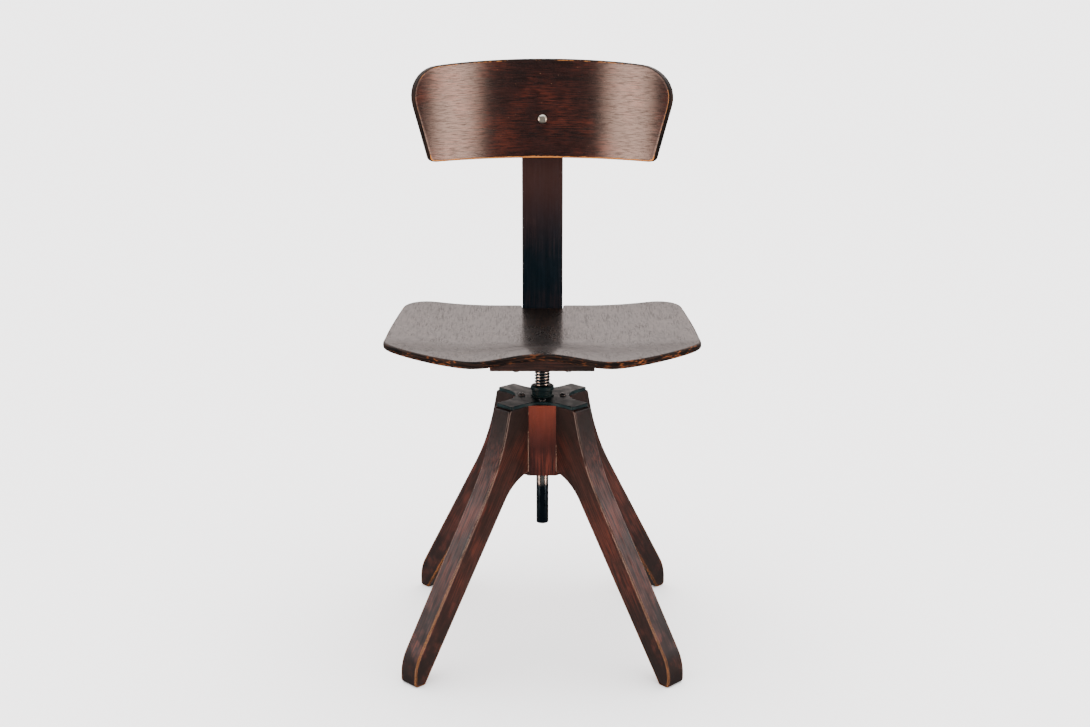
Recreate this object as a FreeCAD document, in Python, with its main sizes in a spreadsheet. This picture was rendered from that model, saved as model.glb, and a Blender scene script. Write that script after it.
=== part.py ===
"""Drafting chair: a swivelling screw stool with a moulded seat and a moulded backrest.

The origin lies on the floor under the spindle.  X runs to the sitter's left and right,
the front of the chair faces -Y and +Z is up.  All lengths are in millimetres.
"""
import FreeCAD, Part
import math
import os

import Sketcher
from FreeCAD import Placement, Rotation, Vector

doc = FreeCAD.newDocument("drafting_chair")

# ---------------------------------------------------------------- driving dimensions
DIMENSIONS = [
    # four-legged base
    ("leg_top", 326),            # height of the flat leg tops and of the hub column
    ("hub_bottom", 94),          # underside of the hub column, below the leg tops
    ("hub_half", 38),            # axis to each flat front, side and rear face of the hub
    ("hub_face", 35),            # width of those four exposed faces
    ("leg_thick", 29),
    ("leg_shoulder", 72),        # radius of the leg's outer top corner
    ("knee_radius", 88.1),       # where shoulder and leg slope would meet
    ("knee_drop", 66.6),         # that point below the leg top
    ("knee_round", 300),
    ("foot_radius", 236.5),      # axis to the outermost part of the foot
    ("foot_break", 28),          # height at which the outer foot rounding is centred
    ("foot_round", 58),
    ("foot_length", 16),         # flat sole, measured along the radius
    ("arch_rise", 5),            # arch start above the underside of the hub
    ("arch_radius", 65.8),       # where arch start and inner slope would meet
    ("arch_drop", 7.2),
    ("arch_round", 70),
    ("shoulder_round", 4),
    ("toe_round", 5),
    ("heel_round", 3),
    ("leg_edge", 2),             # worn rounding along the long edges
    ("dowel_dia", 10),
    ("dowel_length", 44),
    ("dowel_low", 22),           # lower dowel above the arch start
    ("dowel_pitch", 42),
    # iron cross and screw gear
    ("plate_thick", 4),
    ("plate_reach", 69),         # axis to the end of each arm
    ("plate_hollow", 35),        # radius of the hollow between two arms
    ("plate_corner", 3),
    ("plate_edge", 0.8),
    ("screw_circle", 27),        # of the four screws around the collar
    ("nut_radius", 15.2),
    ("nut_waist", 13.4),
    ("nut_sleeve", 15),          # radius of the sleeve that sits in the hub
    ("nut_depth", 16),           # sleeve below the leg tops
    ("nut_height", 14),          # collar above the plate
    ("nut_foot", 1.5),           # full width left above the plate, under the waist
    ("nut_bead", 5.32),          # wide bead at the top of the collar
    ("nut_slant", 1),            # height over which foot and waist meet
    ("nut_shoulder", 1.5),       # height over which waist and bead meet
    ("nut_round", 2.4),
    ("bush_radius", 12),
    ("bush_height", 15),
    ("bore_radius", 12.5),
    ("crest_radius", 10),
    ("pilot_radius", 8),
    ("pilot_chamfer", 1.5),
    ("spigot_step", 1),          # spigot radius under the pilot's
    ("thread_depth", 1.8),
    ("thread_flat", 1.2),        # flat at the root of the thread
    ("crest_flat", 0.4),
    ("thread_pitch", 4),
    ("thread_turns", 24),
    ("screw_gap", 28.5),         # collar top to the underside of the flange
    ("pilot_below", 77),         # pilot end below the hub
    ("running_fit", 0.08),
    ("screw_head", 4.6),         # round-head wood screws, all of one size
    ("screw_dome", 2.6),
    ("screw_shank", 2.4),
    ("screw_tip", 0.4),
    ("screw_taper", 4),
    ("screw_slot", 1.2),
    ("long_screw", 24),
    ("short_screw", 12),
    ("tip_gap", 0.5),            # screw tips of the flange below the upright's halved end
    # seat support
    ("flange_radius", 42),
    ("flange_thick", 5),
    ("flange_edge", 1.2),
    ("flange_screw", 26.04),     # axis to its four screws, along X and along Y
    ("boss_radius", 14),
    ("boss_height", 10),
    ("spigot_length", 12),
    ("block_width", 132),
    ("block_depth", 124),
    ("block_thick", 17.4),       # at the spindle, up to the seat
    ("block_edge", 1.5),
    # moulded seat
    ("seat_width", 403),
    ("seat_front", 200),         # axis to the front edge
    ("seat_rear", 184),          # axis to the rear edge
    ("seat_front_inset", 20),    # sharp front corner inside half the width
    ("seat_rear_inset", 15),
    ("seat_front_round", 150),
    ("seat_rear_round", 45),
    ("seat_side_round", 1100),
    ("seat_thick", 9),
    ("seat_rim", 3.2),
    ("seat_front_rise", 30.5),   # front edge above the dished middle
    ("seat_rear_rise", 6.4),
    ("seat_rear_dish", 60),      # where the rear rise begins, behind the axis
    ("seat_side_rise", 9),
    ("seat_side_flat", 60),      # where the side rise begins, beside the axis
    ("seat_corner_rise", 5),
    ("thigh_hollow", 11.5),      # depth of the two hollows beside the front hump
    ("thigh_place", 95),
    ("notch_gap", 0.5),
    # upright
    ("upright_width", 56),
    ("upright_thick", 14),
    ("upright_top", 58),         # above the backrest bolt
    ("upright_bend", 14),        # inner radius of the bend under the seat
    ("upright_drop", 3),         # gap under the seat
    ("upright_corner", 8),
    ("upright_edge", 1.5),
    ("lap_length", 44),          # halved end inside the block
    ("slot_width", 10),
    ("slot_travel", 25),
    ("slot_clear", 0.5),         # left beyond the tongue at both ends of its travel
    # backrest
    ("back_height", 216),        # lower edge above the dished middle of the seat
    ("back_tall", 132.3),
    ("back_low_width", 303),
    ("back_high_width", 361),    # between the sharp upper corners
    ("back_crown", 12.3),        # rise of the arched top edge
    ("back_corner", 42),
    ("back_low_corner", 8),
    ("back_bend", 235),          # outer radius seen from above
    ("back_thick", 8),
    ("back_rim", 2.6),
    ("bolt_height", 52),         # above the lower edge of the backrest
    ("bolt_radius", 4),
    ("bolt_head", 6.25),
    ("bolt_dome", 3),
    ("bolt_slot", 1.5),
    ("bolt_slot_depth", 1.3),
    ("bolt_slot_turn", 38),      # degrees from level
    ("bolt_end_round", 0.8),
    ("head_clear", 0.3),         # recess around the bolt head
    ("bolt_sink", 0.6),          # bearing face of the bolt head below the shell's hollow side
    ("bolt_tail", 15),           # bolt end behind the upright
    ("saddle_width", 50),
    ("saddle_tall", 64),
    ("saddle_thick", 7),
    ("saddle_horn", 6),          # extra depth that the shell's curve is cut from
    ("saddle_corner", 6),
    ("tongue_tall", 24),         # tongue of the saddle, along the slot
    ("tongue_short", 3),         # tongue end ahead of the upright's rear face
    ("washer_radius", 11),
    ("washer_thick", 1.6),
    ("wing_hub", 9),             # length of the nut's conical hub
    ("wing_hub_wide", 8),        # its radius against the washer
    ("wing_hub_narrow", 6),
    ("wing_thick", 3),
    ("wing_start", 3),           # wing root, beside the bolt
    ("wing_neck", 9),            # where the wing leaves the hub
    ("wing_inner", 12.5),        # inner end of the wing's top
    ("wing_outer", 17),          # outer end of its underside
    ("wing_reach", 18),
    ("wing_base", 1.5),          # wing above the hub's wide end
    ("wing_sweep", 4.5),
    ("wing_low_top", 5),
    ("wing_high_side", 11),
    ("wing_high_top", 12),
    ("wing_round", 2.2),
    ("face_gap", 0.2),           # flat faces that slide past each other
    ("glue_gap", 0.05),
]

sheet = doc.addObject("Spreadsheet::Sheet", "Sizes")
for row, (alias, number) in enumerate(DIMENSIONS, start=1):
    sheet.set("A%d" % row, alias)
    sheet.set("B%d" % row, str(number))
    sheet.setAlias("B%d" % row, alias)
doc.recompute()


class Size:
    """A length that carries its number together with the sheet formula behind it."""

    def __init__(self, number, formula=None):
        self.number = float(number)
        self.formula = formula or "%.9g" % self.number

    def joined(self, other, sign, number):
        return Size(number, "(%s %s %s)" % (self.formula, sign, other.formula))

    def __add__(self, other):
        other = as_size(other)
        return self.joined(other, "+", self.number + other.number)

    def __sub__(self, other):
        other = as_size(other)
        return self.joined(other, "-", self.number - other.number)

    def __mul__(self, other):
        other = as_size(other)
        return self.joined(other, "*", self.number * other.number)

    def __truediv__(self, other):
        other = as_size(other)
        return self.joined(other, "/", self.number / other.number)

    def __neg__(self):
        return Size(-self.number, "(-%s)" % self.formula)

    __radd__ = __add__
    __rmul__ = __mul__


def as_size(value):
    return value if isinstance(value, Size) else Size(value)


class Sheet:
    """Every alias of the spreadsheet as an attribute."""

    def __init__(self):
        for name, _ in DIMENSIONS:
            setattr(self, name, Size(sheet.get(name), "Sizes." + name))


S = Sheet()

SPARE = 1       # cutters and holes run this far past the faces they open
BEYOND = 20     # reach of a cutter through a whole piece

# Levels and places that follow from the driving dimensions
HUB_CHAMFER = (S.hub_half + S.hub_face / 2) / math.sqrt(2)
HUB_BOTTOM = S.leg_top - S.hub_bottom
ARCH_START = HUB_BOTTOM + S.arch_rise
PLATE_TOP = S.leg_top + S.plate_thick
NUT_TOP = PLATE_TOP + S.nut_height
FLANGE_BOTTOM = NUT_TOP + S.screw_gap
BLOCK_BOTTOM = FLANGE_BOTTOM + S.flange_thick
SEAT_UNDER = BLOCK_BOTTOM + S.block_thick + S.glue_gap * 2
SEAT_TOP = SEAT_UNDER + S.seat_thick
BACK_BOTTOM = SEAT_TOP + S.back_height
BOLT_LEVEL = BACK_BOTTOM + S.bolt_height
UPRIGHT_TOP = BOLT_LEVEL + S.upright_top
RAIL_TOP = SEAT_UNDER - S.upright_drop
RAIL_BOTTOM = RAIL_TOP - S.upright_thick
RAIL_MIDDLE = RAIL_TOP - S.upright_thick / 2
UPRIGHT_FRONT = S.seat_rear - S.upright_thick
BACK_OUTER = UPRIGHT_FRONT - S.face_gap - S.saddle_thick
BACK_AXIS = BACK_OUTER - S.back_bend
HEAD_SEAT = BACK_OUTER - S.back_thick + S.bolt_sink
BOLT_END = S.seat_rear + S.bolt_tail
THREAD_BOTTOM = FLANGE_BOTTOM - S.thread_pitch * S.thread_turns
FLANGE_SCREW = RAIL_MIDDLE - S.tip_gap - FLANGE_BOTTOM
PILOT_END = HUB_BOTTOM - S.pilot_below


# Screw places, as x and y from the spindle axis
def mirrored(x, *ys):
    return [(side * x, y) for y in ys for side in (-1, 1)]


ON_AXIS = Size(0)
COLLAR_SCREWS = [(S.screw_circle, ON_AXIS), (ON_AXIS, S.screw_circle),
                 (-S.screw_circle, ON_AXIS), (ON_AXIS, -S.screw_circle)]
SCREW_LINE = S.block_depth / 2 - S.screw_head * 2
FLANGE_SCREWS = mirrored(S.flange_screw, -S.flange_screw, S.flange_screw)
BLOCK_SCREWS = mirrored(S.block_width / 4, -SCREW_LINE, SCREW_LINE)
LAP_SCREWS = mirrored(S.upright_width / 4, SCREW_LINE)


# ---------------------------------------------------------------- modelling helpers
def bind(obj, prop, value):
    obj.setExpression(prop, as_size(value).formula)


def new_body(name):
    body = doc.addObject("PartDesign::Body", name)
    body.Label = name
    return body


def new_sketch(body, name, role="XY_Plane", offset=None):
    """A sketch on an origin plane of its own body, lifted along the plane's normal."""
    plane = next(f for f in body.Origin.OriginFeatures if f.Role == role)
    sketch = body.newObject("Sketcher::SketchObject", name)
    sketch.AttachmentSupport = [(plane, "")]
    sketch.MapMode = "FlatFace"
    if offset is not None:
        bind(sketch, "AttachmentOffset.Base.z", offset)
    return sketch


def hold(sketch, kind, geometry, point, value):
    """Dimension one point from the sketch origin and tie it to the sheet."""
    index = sketch.addConstraint(
        Sketcher.Constraint(kind, -1, 1, geometry, point, as_size(value).number))
    sketch.setExpression("Constraints[%d]" % index, as_size(value).formula)


def bulging(start, end, radius):
    """An arc from start to end that bulges out of an outline drawn anticlockwise."""
    half = (end - start) * 0.5
    rise = radius - math.sqrt(radius ** 2 - half.Length ** 2)
    outward = Vector(half.y, -half.x, 0).normalize()
    return Part.Arc(start, start + half + outward * rise, end)


def polygon(sketch, corners, bulges=None):
    """A closed outline whose corners are dimensioned from the origin.

    bulges gives the radius of each side that is an arc, by the number of its first corner.
    """
    bulges = bulges or {}
    corners = [(as_size(x), as_size(y)) for x, y in corners]
    places = [Vector(x.number, y.number, 0) for x, y in corners]
    first = sketch.GeometryCount
    for i, (start, end) in enumerate(zip(places, places[1:] + places[:1])):
        if i in bulges:
            sketch.addGeometry(bulging(start, end, bulges[i].number), False)
        else:
            sketch.addGeometry(Part.LineSegment(start, end), False)
    count = len(corners)
    for i in range(count):
        following = first + (i + 1) % count
        sketch.addConstraint(Sketcher.Constraint("Coincident", first + i, 2, following, 1))
    for i, (x, y) in enumerate(corners):
        hold(sketch, "DistanceX", first + i, 1, x)
        hold(sketch, "DistanceY", first + i, 1, y)
    for i, radius in bulges.items():
        index = sketch.addConstraint(Sketcher.Constraint("Radius", first + i, radius.number))
        sketch.setExpression("Constraints[%d]" % index, radius.formula)


def circle(sketch, x, y, radius):
    x, y, radius = as_size(x), as_size(y), as_size(radius)
    shape = Part.Circle(Vector(x.number, y.number, 0), Vector(0, 0, 1), radius.number)
    index = sketch.addGeometry(shape, False)
    hold(sketch, "DistanceX", index, 3, x)
    hold(sketch, "DistanceY", index, 3, y)
    limit = sketch.addConstraint(Sketcher.Constraint("Radius", index, radius.number))
    sketch.setExpression("Constraints[%d]" % limit, radius.formula)


def rectangle(sketch, left, right, low, high):
    polygon(sketch, [(left, low), (right, low), (right, high), (left, high)])


def pad(body, sketch, length, centred=False):
    feature = body.newObject("PartDesign::Pad", sketch.Name + "_pad")
    feature.Profile = sketch
    if centred:
        feature.SideType = "Symmetric"
    bind(feature, "Length", length)
    doc.recompute()
    return feature


def pocket(body, sketch, length=None):
    """Cut a sketch out of the body along +Z of the sketch, or right through both ways."""
    before = body.Shape.Volume
    feature = body.newObject("PartDesign::Pocket", sketch.Name + "_pocket")
    feature.Profile = sketch
    if length is None:
        feature.SideType = "Symmetric"
        feature.Type = "ThroughAll"
    else:
        feature.Reversed = True
        bind(feature, "Length", length)
    doc.recompute()
    if not body.Shape.Volume < before - 1e-3:
        raise RuntimeError(feature.Name + " cuts nothing")
    return feature


def revolve(body, sketch, axis="V_Axis"):
    feature = body.newObject("PartDesign::Revolution", sketch.Name + "_turned")
    feature.Profile = sketch
    feature.ReferenceAxis = (sketch, [axis])
    feature.Angle = 360
    doc.recompute()
    return feature


def edges_where(shape, test):
    return ["Edge%d" % (i + 1) for i, edge in enumerate(shape.Edges) if test(edge)]


def straight(edge):
    return edge.Curve.TypeId == "Part::GeomLine"


def corner_edges(shape, x, y, reach=0.5):
    """Upright edges through one corner of the outline."""
    x, y = as_size(x).number, as_size(y).number
    return edges_where(shape, lambda e: straight(e) and abs(e.CenterOfMass.x - x) < reach
                       and abs(e.CenterOfMass.y - y) < reach)


def upright_edges(shape, nearest, furthest):
    """Upright edges whose distance from the Z axis lies between two limits."""
    def wanted(edge):
        radius = math.hypot(edge.CenterOfMass.x, edge.CenterOfMass.y)
        return straight(edge) and edge.BoundBox.ZLength > 1 and nearest < radius < furthest
    return edges_where(shape, wanted)


def across_at(y, z):
    """Test for edges parallel to X through one point of a side outline."""
    def wanted(edge):
        centre = edge.CenterOfMass
        along = edge.BoundBox.XLength > 5 and edge.BoundBox.YLength < 0.01
        return along and abs(centre.y - y.number) < 0.1 and abs(centre.z - z.number) < 0.1
    return wanted


def across_front(x, z):
    """Test for edges parallel to Y through one point of a front outline."""
    def wanted(edge):
        centre = edge.CenterOfMass
        along = edge.BoundBox.YLength > 5 and edge.BoundBox.XLength < 0.01
        return along and abs(centre.x - x.number) < 0.1 and abs(centre.z - z.number) < 0.1
    return wanted


def rings(shape, radius, level):
    """Circular edges around the Z axis at one level."""
    def wanted(edge):
        if edge.Curve.TypeId != "Part::GeomCircle":
            return False
        same = abs(edge.Curve.Radius - as_size(radius).number) < 0.01
        return same and abs(edge.CenterOfMass.z - as_size(level).number) < 0.01
    return edges_where(shape, wanted)


def round_edges(body, names, radius):
    if not names:
        raise RuntimeError(body.Name + " has no edge to round here")
    base = body.Tip
    feature = body.newObject("PartDesign::Fillet", body.Name + "_round")
    feature.Base = (base, names)
    bind(feature, "Radius", radius)
    doc.recompute()
    if "Invalid" in feature.State:
        raise RuntimeError("%s fails at radius %s" % (feature.Name, feature.Radius))


def cylinder(name, radius, height, base, direction=Vector(0, 0, 1)):
    shape = doc.addObject("Part::Cylinder", name)
    bind(shape, "Radius", radius)
    bind(shape, "Height", height)
    shape.Placement = Placement(base, Rotation(Vector(0, 0, 1), direction))
    return shape


def cut(label, base, tools):
    """Cut a list of tools out of a base; one fused tool keeps the tree short."""
    tool = tools[0]
    if len(tools) > 1:
        tool = doc.addObject("Part::MultiFuse", label + "_tools")
        tool.Shapes = tools
    result = doc.addObject("Part::Cut", label)
    result.Label = label
    result.Base = base
    result.Tool = tool
    doc.recompute()
    return result


def group(label, members):
    result = doc.addObject("Part::Compound", label)
    result.Label = label
    result.Links = members
    doc.recompute()
    return result


NEARLY_ALL = 0.96     # share of a straight run that its rounding may take


def fits(radius, turn, *runs):
    """The wanted rounding, or less where a straight run beside it is too short."""
    limit = min(run / math.tan(abs(turn) / 2) for run in runs) * NEARLY_ALL
    return Size(min(radius.number, limit), "min(%s; %.4f)" % (radius.formula, limit))


def slope(start, end):
    return math.atan2(end[1] - start[1], end[0] - start[0])


def span(start, end):
    return math.hypot(end[0] - start[0], end[1] - start[1])


PARTS = []


def keep(obj, label):
    obj.Label = label
    PARTS.append(obj)
    return obj


# ---------------------------------------------------------------- four-legged base
LEG_TURNS = {"leg_front_right": -45, "leg_back_right": 45,
             "leg_back_left": 135, "leg_front_left": 225}
DOWEL_HEIGHTS = [ARCH_START + S.dowel_low, ARCH_START + S.dowel_low + S.dowel_pitch]


def radial(angle):
    return Vector(math.cos(math.radians(angle)), math.sin(math.radians(angle)), 0)


def dowel_set(prefix, angle, radius, length):
    """Two dowels, or the two holes for them, across the joint of one leg and the hub."""
    pins = []
    for i, height in enumerate(DOWEL_HEIGHTS):
        start = radial(angle) * (HUB_CHAMFER.number - length.number / 2)
        start.z = height.number
        pins.append(cylinder("%s_%d" % (prefix, i), radius, length, start, radial(angle)))
    return pins


def hub_column():
    body = new_body("hub_body")
    outline = new_sketch(body, "hub_outline", offset=HUB_BOTTOM)
    wide, narrow = S.hub_half, S.hub_face / 2
    polygon(outline, [(wide, -narrow), (wide, narrow), (narrow, wide), (-narrow, wide),
                      (-wide, narrow), (-wide, -narrow), (-narrow, -wide), (narrow, -wide)])
    pad(body, outline, S.leg_top - HUB_BOTTOM)
    bore = new_sketch(body, "hub_bore")
    circle(bore, 0, 0, S.bore_radius)
    pocket(body, bore)
    nut_seat = new_sketch(body, "nut_seat", offset=S.leg_top - S.nut_depth)
    circle(nut_seat, 0, 0, S.nut_sleeve + S.glue_gap)
    pocket(body, nut_seat, S.nut_depth)
    holes = []
    for label, angle in LEG_TURNS.items():
        holes += dowel_set("hub_hole_" + label, angle, S.dowel_dia / 2 + S.glue_gap,
                           S.dowel_length + SPARE)
    holes += screw_holes("hub_screw", COLLAR_SCREWS, PLATE_TOP, S.long_screw)
    keep(cut("hub_column", body, holes), "hub_column")


ROOM = 6     # straight run kept for the small rounding at its other end


def through(x, z, reach=0.5):
    """Test for edges across the leg through one corner of its side outline."""
    def wanted(edge):
        centre = edge.CenterOfMass
        return abs(centre.x - x) < reach and abs(centre.z - z) < reach
    return wanted


def leg(label, angle):
    """One scrolled leg, drawn on its side and turned to its corner of the hub."""
    body = new_body(label + "_body")
    side = new_sketch(body, label + "_side", "XZ_Plane")
    top_in = (HUB_CHAMFER, S.leg_top)
    top_out = (S.leg_shoulder, S.leg_top)
    knee = (S.knee_radius, S.leg_top - S.knee_drop)
    ankle = (S.foot_radius, S.foot_break)
    toe = (S.foot_radius, 0)
    heel = (S.foot_radius - S.foot_length, 0)
    arch = (S.arch_radius, ARCH_START - S.arch_drop)
    root = (HUB_CHAMFER, ARCH_START)
    corners = [top_in, top_out, knee, ankle, toe, heel, arch, root]
    polygon(side, corners)
    pad(body, side, S.leg_thick, centred=True)
    flat = [(as_size(x).number, as_size(z).number) for x, z in corners]
    top_out, knee, ankle, toe, heel, arch, root = flat[1:]
    run = span(knee, ankle)
    rounds = [
        (knee, fits(S.knee_round, slope(knee, top_out) - slope(ankle, knee),
                    span(top_out, knee) - ROOM, run * 0.6)),
        (ankle, fits(S.foot_round, slope(ankle, knee) - math.pi / 2,
                     span(ankle, toe) - ROOM, run * 0.3)),
        (arch, fits(S.arch_round, slope(arch, root) - slope(heel, arch),
                    span(arch, root), span(heel, arch) * 0.5)),
        (toe, S.toe_round),
        (heel, S.heel_round),
        (top_out, S.shoulder_round),
    ]
    for (x, z), radius in rounds:
        round_edges(body, edges_where(body.Shape, through(x, z)), radius)
    half = S.leg_thick.number / 2

    def arris(edge):
        centre = edge.CenterOfMass
        against_hub = centre.x < HUB_CHAMFER.number + 0.5
        return abs(abs(centre.y) - half) < 0.01 and not against_hub
    round_edges(body, edges_where(body.Shape, arris), S.leg_edge)
    body.Placement = Placement(Vector(0, 0, 0), Rotation(Vector(0, 0, 1), angle))
    holes = dowel_set(label + "_hole", angle, S.dowel_dia / 2 + S.glue_gap,
                      S.dowel_length + SPARE)
    keep(cut(label, body, holes), label)


def leg_dowels():
    pins = []
    for label, angle in LEG_TURNS.items():
        pins += dowel_set(label + "_dowel", angle, S.dowel_dia / 2, S.dowel_length)
    keep(group("leg_dowels", pins), "leg_dowels")


# ---------------------------------------------------------------- screws
def screw_holes(prefix, places, level, length, upwards=False):
    """Holes around the shanks of screws whose heads bear on one level."""
    depth = length + SPARE
    holes = []
    for i, (x, y) in enumerate(places):
        low = level.number - SPARE if upwards else level.number - depth.number
        holes.append(cylinder("%s_hole_%d" % (prefix, i), S.screw_shank + S.glue_gap,
                              depth + SPARE, Vector(x.number, y.number, low)))
    return holes


def wood_screw(name, length):
    """Slotted round-head wood screw, head up, bearing face at its own origin."""
    body = new_body(name)
    side = new_sketch(body, name + "_side", "XZ_Plane")
    tip = -length
    polygon(side, [(0, tip), (S.screw_tip, tip), (S.screw_shank, tip + S.screw_taper),
                   (S.screw_shank, 0),
                   (S.screw_head, 0), (S.screw_head, S.screw_dome), (0, S.screw_dome)])
    revolve(body, side)
    round_edges(body, rings(body.Shape, S.screw_head, S.screw_dome), S.screw_dome * 0.9)
    slot = new_sketch(body, name + "_slot", offset=S.screw_dome * 0.45)
    rectangle(slot, -S.screw_head * 2, S.screw_head * 2, -S.screw_slot / 2, S.screw_slot / 2)
    pocket(body, slot, S.screw_dome)
    return body


def screw_group(label, screw, places, level, twists, upwards=False):
    """Copies of the wood screw, each with its slot left where it stopped turning."""
    members = []
    for i, ((x, y), twist) in enumerate(zip(places, twists)):
        item = doc.addObject("Part::Feature", "%s_%d" % (label, i))
        item.Shape = screw.Shape.copy()
        turn = Rotation(Vector(0, 0, 1), twist)
        if upwards:
            turn = turn.multiply(Rotation(Vector(1, 0, 0), 180))
        item.Placement = Placement(Vector(x.number, y.number, level.number), turn)
        members.append(item)
    keep(group(label, members), label)


LONG_SCREW = wood_screw("long_screw", S.long_screw)
SHORT_SCREW = wood_screw("short_screw", S.short_screw)


def collar_screws():
    screw_group("collar_screws", LONG_SCREW, COLLAR_SCREWS, PLATE_TOP, [8, 62, 118, 90])


def spider_plate():
    """A flat iron cross with hollowed corners, laid on the hub and the leg tops."""
    body = new_body("spider_body")
    cross = new_sketch(body, "cross", offset=S.leg_top)
    half = S.leg_thick / 2
    quarter = [(S.plate_reach, -half), (S.plate_reach, half), (half, half)]
    corners = []
    for _ in range(4):
        corners += quarter
        quarter = [(-y, x) for x, y in quarter]
    polygon(cross, corners)
    pad(body, cross, S.plate_thick)
    reach, inner = S.plate_reach.number, half.number
    hollows = upright_edges(body.Shape, 0, inner * 1.6)
    round_edges(body, hollows, fits(S.plate_hollow, math.pi / 2, reach - inner))
    round_edges(body, upright_edges(body.Shape, reach, reach * 2), S.plate_corner)
    top = edges_where(body.Shape, lambda e: e.BoundBox.ZMin > PLATE_TOP.number - 0.01)
    round_edges(body, top, S.plate_edge)
    body.Placement = Placement(Vector(0, 0, 0), Rotation(Vector(0, 0, 1), 45))
    below = Vector(0, 0, S.leg_top.number - SPARE)
    holes = [cylinder("collar_hole", S.nut_sleeve + S.glue_gap, S.plate_thick + SPARE * 2, below)]
    holes += screw_holes("plate_screw", COLLAR_SCREWS, PLATE_TOP, S.long_screw)
    keep(cut("spider_plate", body, holes), "spider_plate")


def spindle_nut():
    """Iron collar above the cross with a sleeve that reaches down into the hub."""
    body = new_body("spindle_nut")
    side = new_sketch(body, "nut_side", "XZ_Plane")
    bore = S.crest_radius + S.running_fit
    low = S.leg_top - S.nut_depth
    foot = PLATE_TOP + S.nut_foot
    bead = NUT_TOP - S.nut_bead
    polygon(side, [(bore, low), (S.nut_sleeve, low), (S.nut_sleeve, foot),
                   (S.nut_waist, foot + S.nut_slant), (S.nut_waist, bead - S.nut_shoulder),
                   (S.nut_radius, bead), (S.nut_radius, NUT_TOP), (bore, NUT_TOP)])
    revolve(body, side)
    round_edges(body, rings(body.Shape, S.nut_radius, NUT_TOP), S.nut_round)
    keep(body, "spindle_nut")


def guide_bush():
    """Plain iron bush that steadies the pilot of the spindle under the hub bore."""
    body = new_body("guide_bush")
    ring = new_sketch(body, "bush_ring", offset=HUB_BOTTOM)
    circle(ring, 0, 0, S.bush_radius)
    circle(ring, 0, 0, S.pilot_radius + S.running_fit)
    pad(body, ring, S.bush_height)
    keep(body, "guide_bush")


def spindle():
    """Pilot rod, screw and top spigot turned in one piece, then the thread cut into it."""
    body = new_body("spindle")
    side = new_sketch(body, "spindle_side", "XZ_Plane")
    shoulder = FLANGE_BOTTOM - S.face_gap
    spigot = S.pilot_radius - S.spigot_step
    top = FLANGE_BOTTOM + S.spigot_length
    polygon(side, [(0, PILOT_END), (S.pilot_radius - S.pilot_chamfer, PILOT_END),
                   (S.pilot_radius, PILOT_END + S.pilot_chamfer),
                   (S.pilot_radius, THREAD_BOTTOM),
                   (S.crest_radius, THREAD_BOTTOM), (S.crest_radius, shoulder),
                   (spigot, shoulder), (spigot, top), (0, top)])
    revolve(body, side)
    tooth = new_sketch(body, "thread_tooth", "XZ_Plane")
    pitch = S.thread_pitch
    root = S.crest_radius - S.thread_depth
    middle = THREAD_BOTTOM + pitch / 2
    wide, narrow = (pitch - S.crest_flat) / 2, S.thread_flat / 2
    polygon(tooth, [(S.crest_radius + SPARE, middle - wide), (root, middle - narrow),
                    (root, middle + narrow), (S.crest_radius + SPARE, middle + wide)])
    before = body.Shape.Volume
    groove = body.newObject("PartDesign::Groove", "thread_groove")
    groove.Profile = tooth
    groove.ReferenceAxis = (tooth, ["V_Axis"])
    groove.Angle = 360
    doc.recompute()
    if not body.Shape.Volume < before - 1:
        raise RuntimeError("the thread groove cuts nothing")
    thread = body.newObject("PartDesign::LinearPattern", "thread")
    thread.Originals = [groove]
    thread.Direction = (side, ["V_Axis"])
    bind(thread, "Length", pitch * (S.thread_turns - 1))
    bind(thread, "Occurrences", S.thread_turns)
    body.Tip = thread
    doc.recompute()
    keep(body, "spindle")


# ---------------------------------------------------------------- seat support
def spindle_flange():
    """Iron disc under the wooden block, with a boss that takes the spindle's spigot."""
    body = new_body("flange_body")
    side = new_sketch(body, "flange_side", "XZ_Plane")
    top = BLOCK_BOTTOM + S.boss_height
    hollow = FLANGE_BOTTOM + S.spigot_length + S.face_gap
    spigot = S.pilot_radius - S.spigot_step + S.running_fit
    polygon(side, [(spigot, FLANGE_BOTTOM), (S.flange_radius, FLANGE_BOTTOM),
                   (S.flange_radius, BLOCK_BOTTOM), (S.boss_radius, BLOCK_BOTTOM),
                   (S.boss_radius, top), (0, top), (0, hollow), (spigot, hollow)])
    revolve(body, side)
    round_edges(body, rings(body.Shape, S.flange_radius, FLANGE_BOTTOM), S.flange_edge)
    holes = screw_holes("flange_screw", FLANGE_SCREWS, FLANGE_BOTTOM, FLANGE_SCREW, True)
    keep(cut("spindle_flange", body, holes), "spindle_flange")


def flange_screws():
    screw = wood_screw("flange_screw", FLANGE_SCREW)
    screw_group("flange_screws", screw, FLANGE_SCREWS, FLANGE_BOTTOM,
                [20, 75, 140, 5], upwards=True)


def seat_surface(x, y):
    """Height of the moulded seat above its dished middle."""
    forward = min(max(-y / S.seat_front.number, 0), 1)
    dish = S.seat_rear_dish.number
    backward = max(y - dish, 0) / (S.seat_rear.number - dish)
    flat = S.seat_side_flat.number
    outward = max(abs(x) - flat, 0) / (S.seat_width.number / 2 - flat)
    roll = forward * forward * (3 - 2 * forward)
    across = min(abs(x) / S.thigh_place.number, 1)
    hollow = S.thigh_hollow.number * (1 - math.cos(math.pi * across)) / 2
    corner = S.seat_corner_rise.number * (y / S.seat_front.number) ** 2
    side = (S.seat_side_rise.number + corner) * outward ** 2
    return (S.seat_front_rise.number * roll - hollow * roll
            + S.seat_rear_rise.number * backward ** 2 + side)


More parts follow.
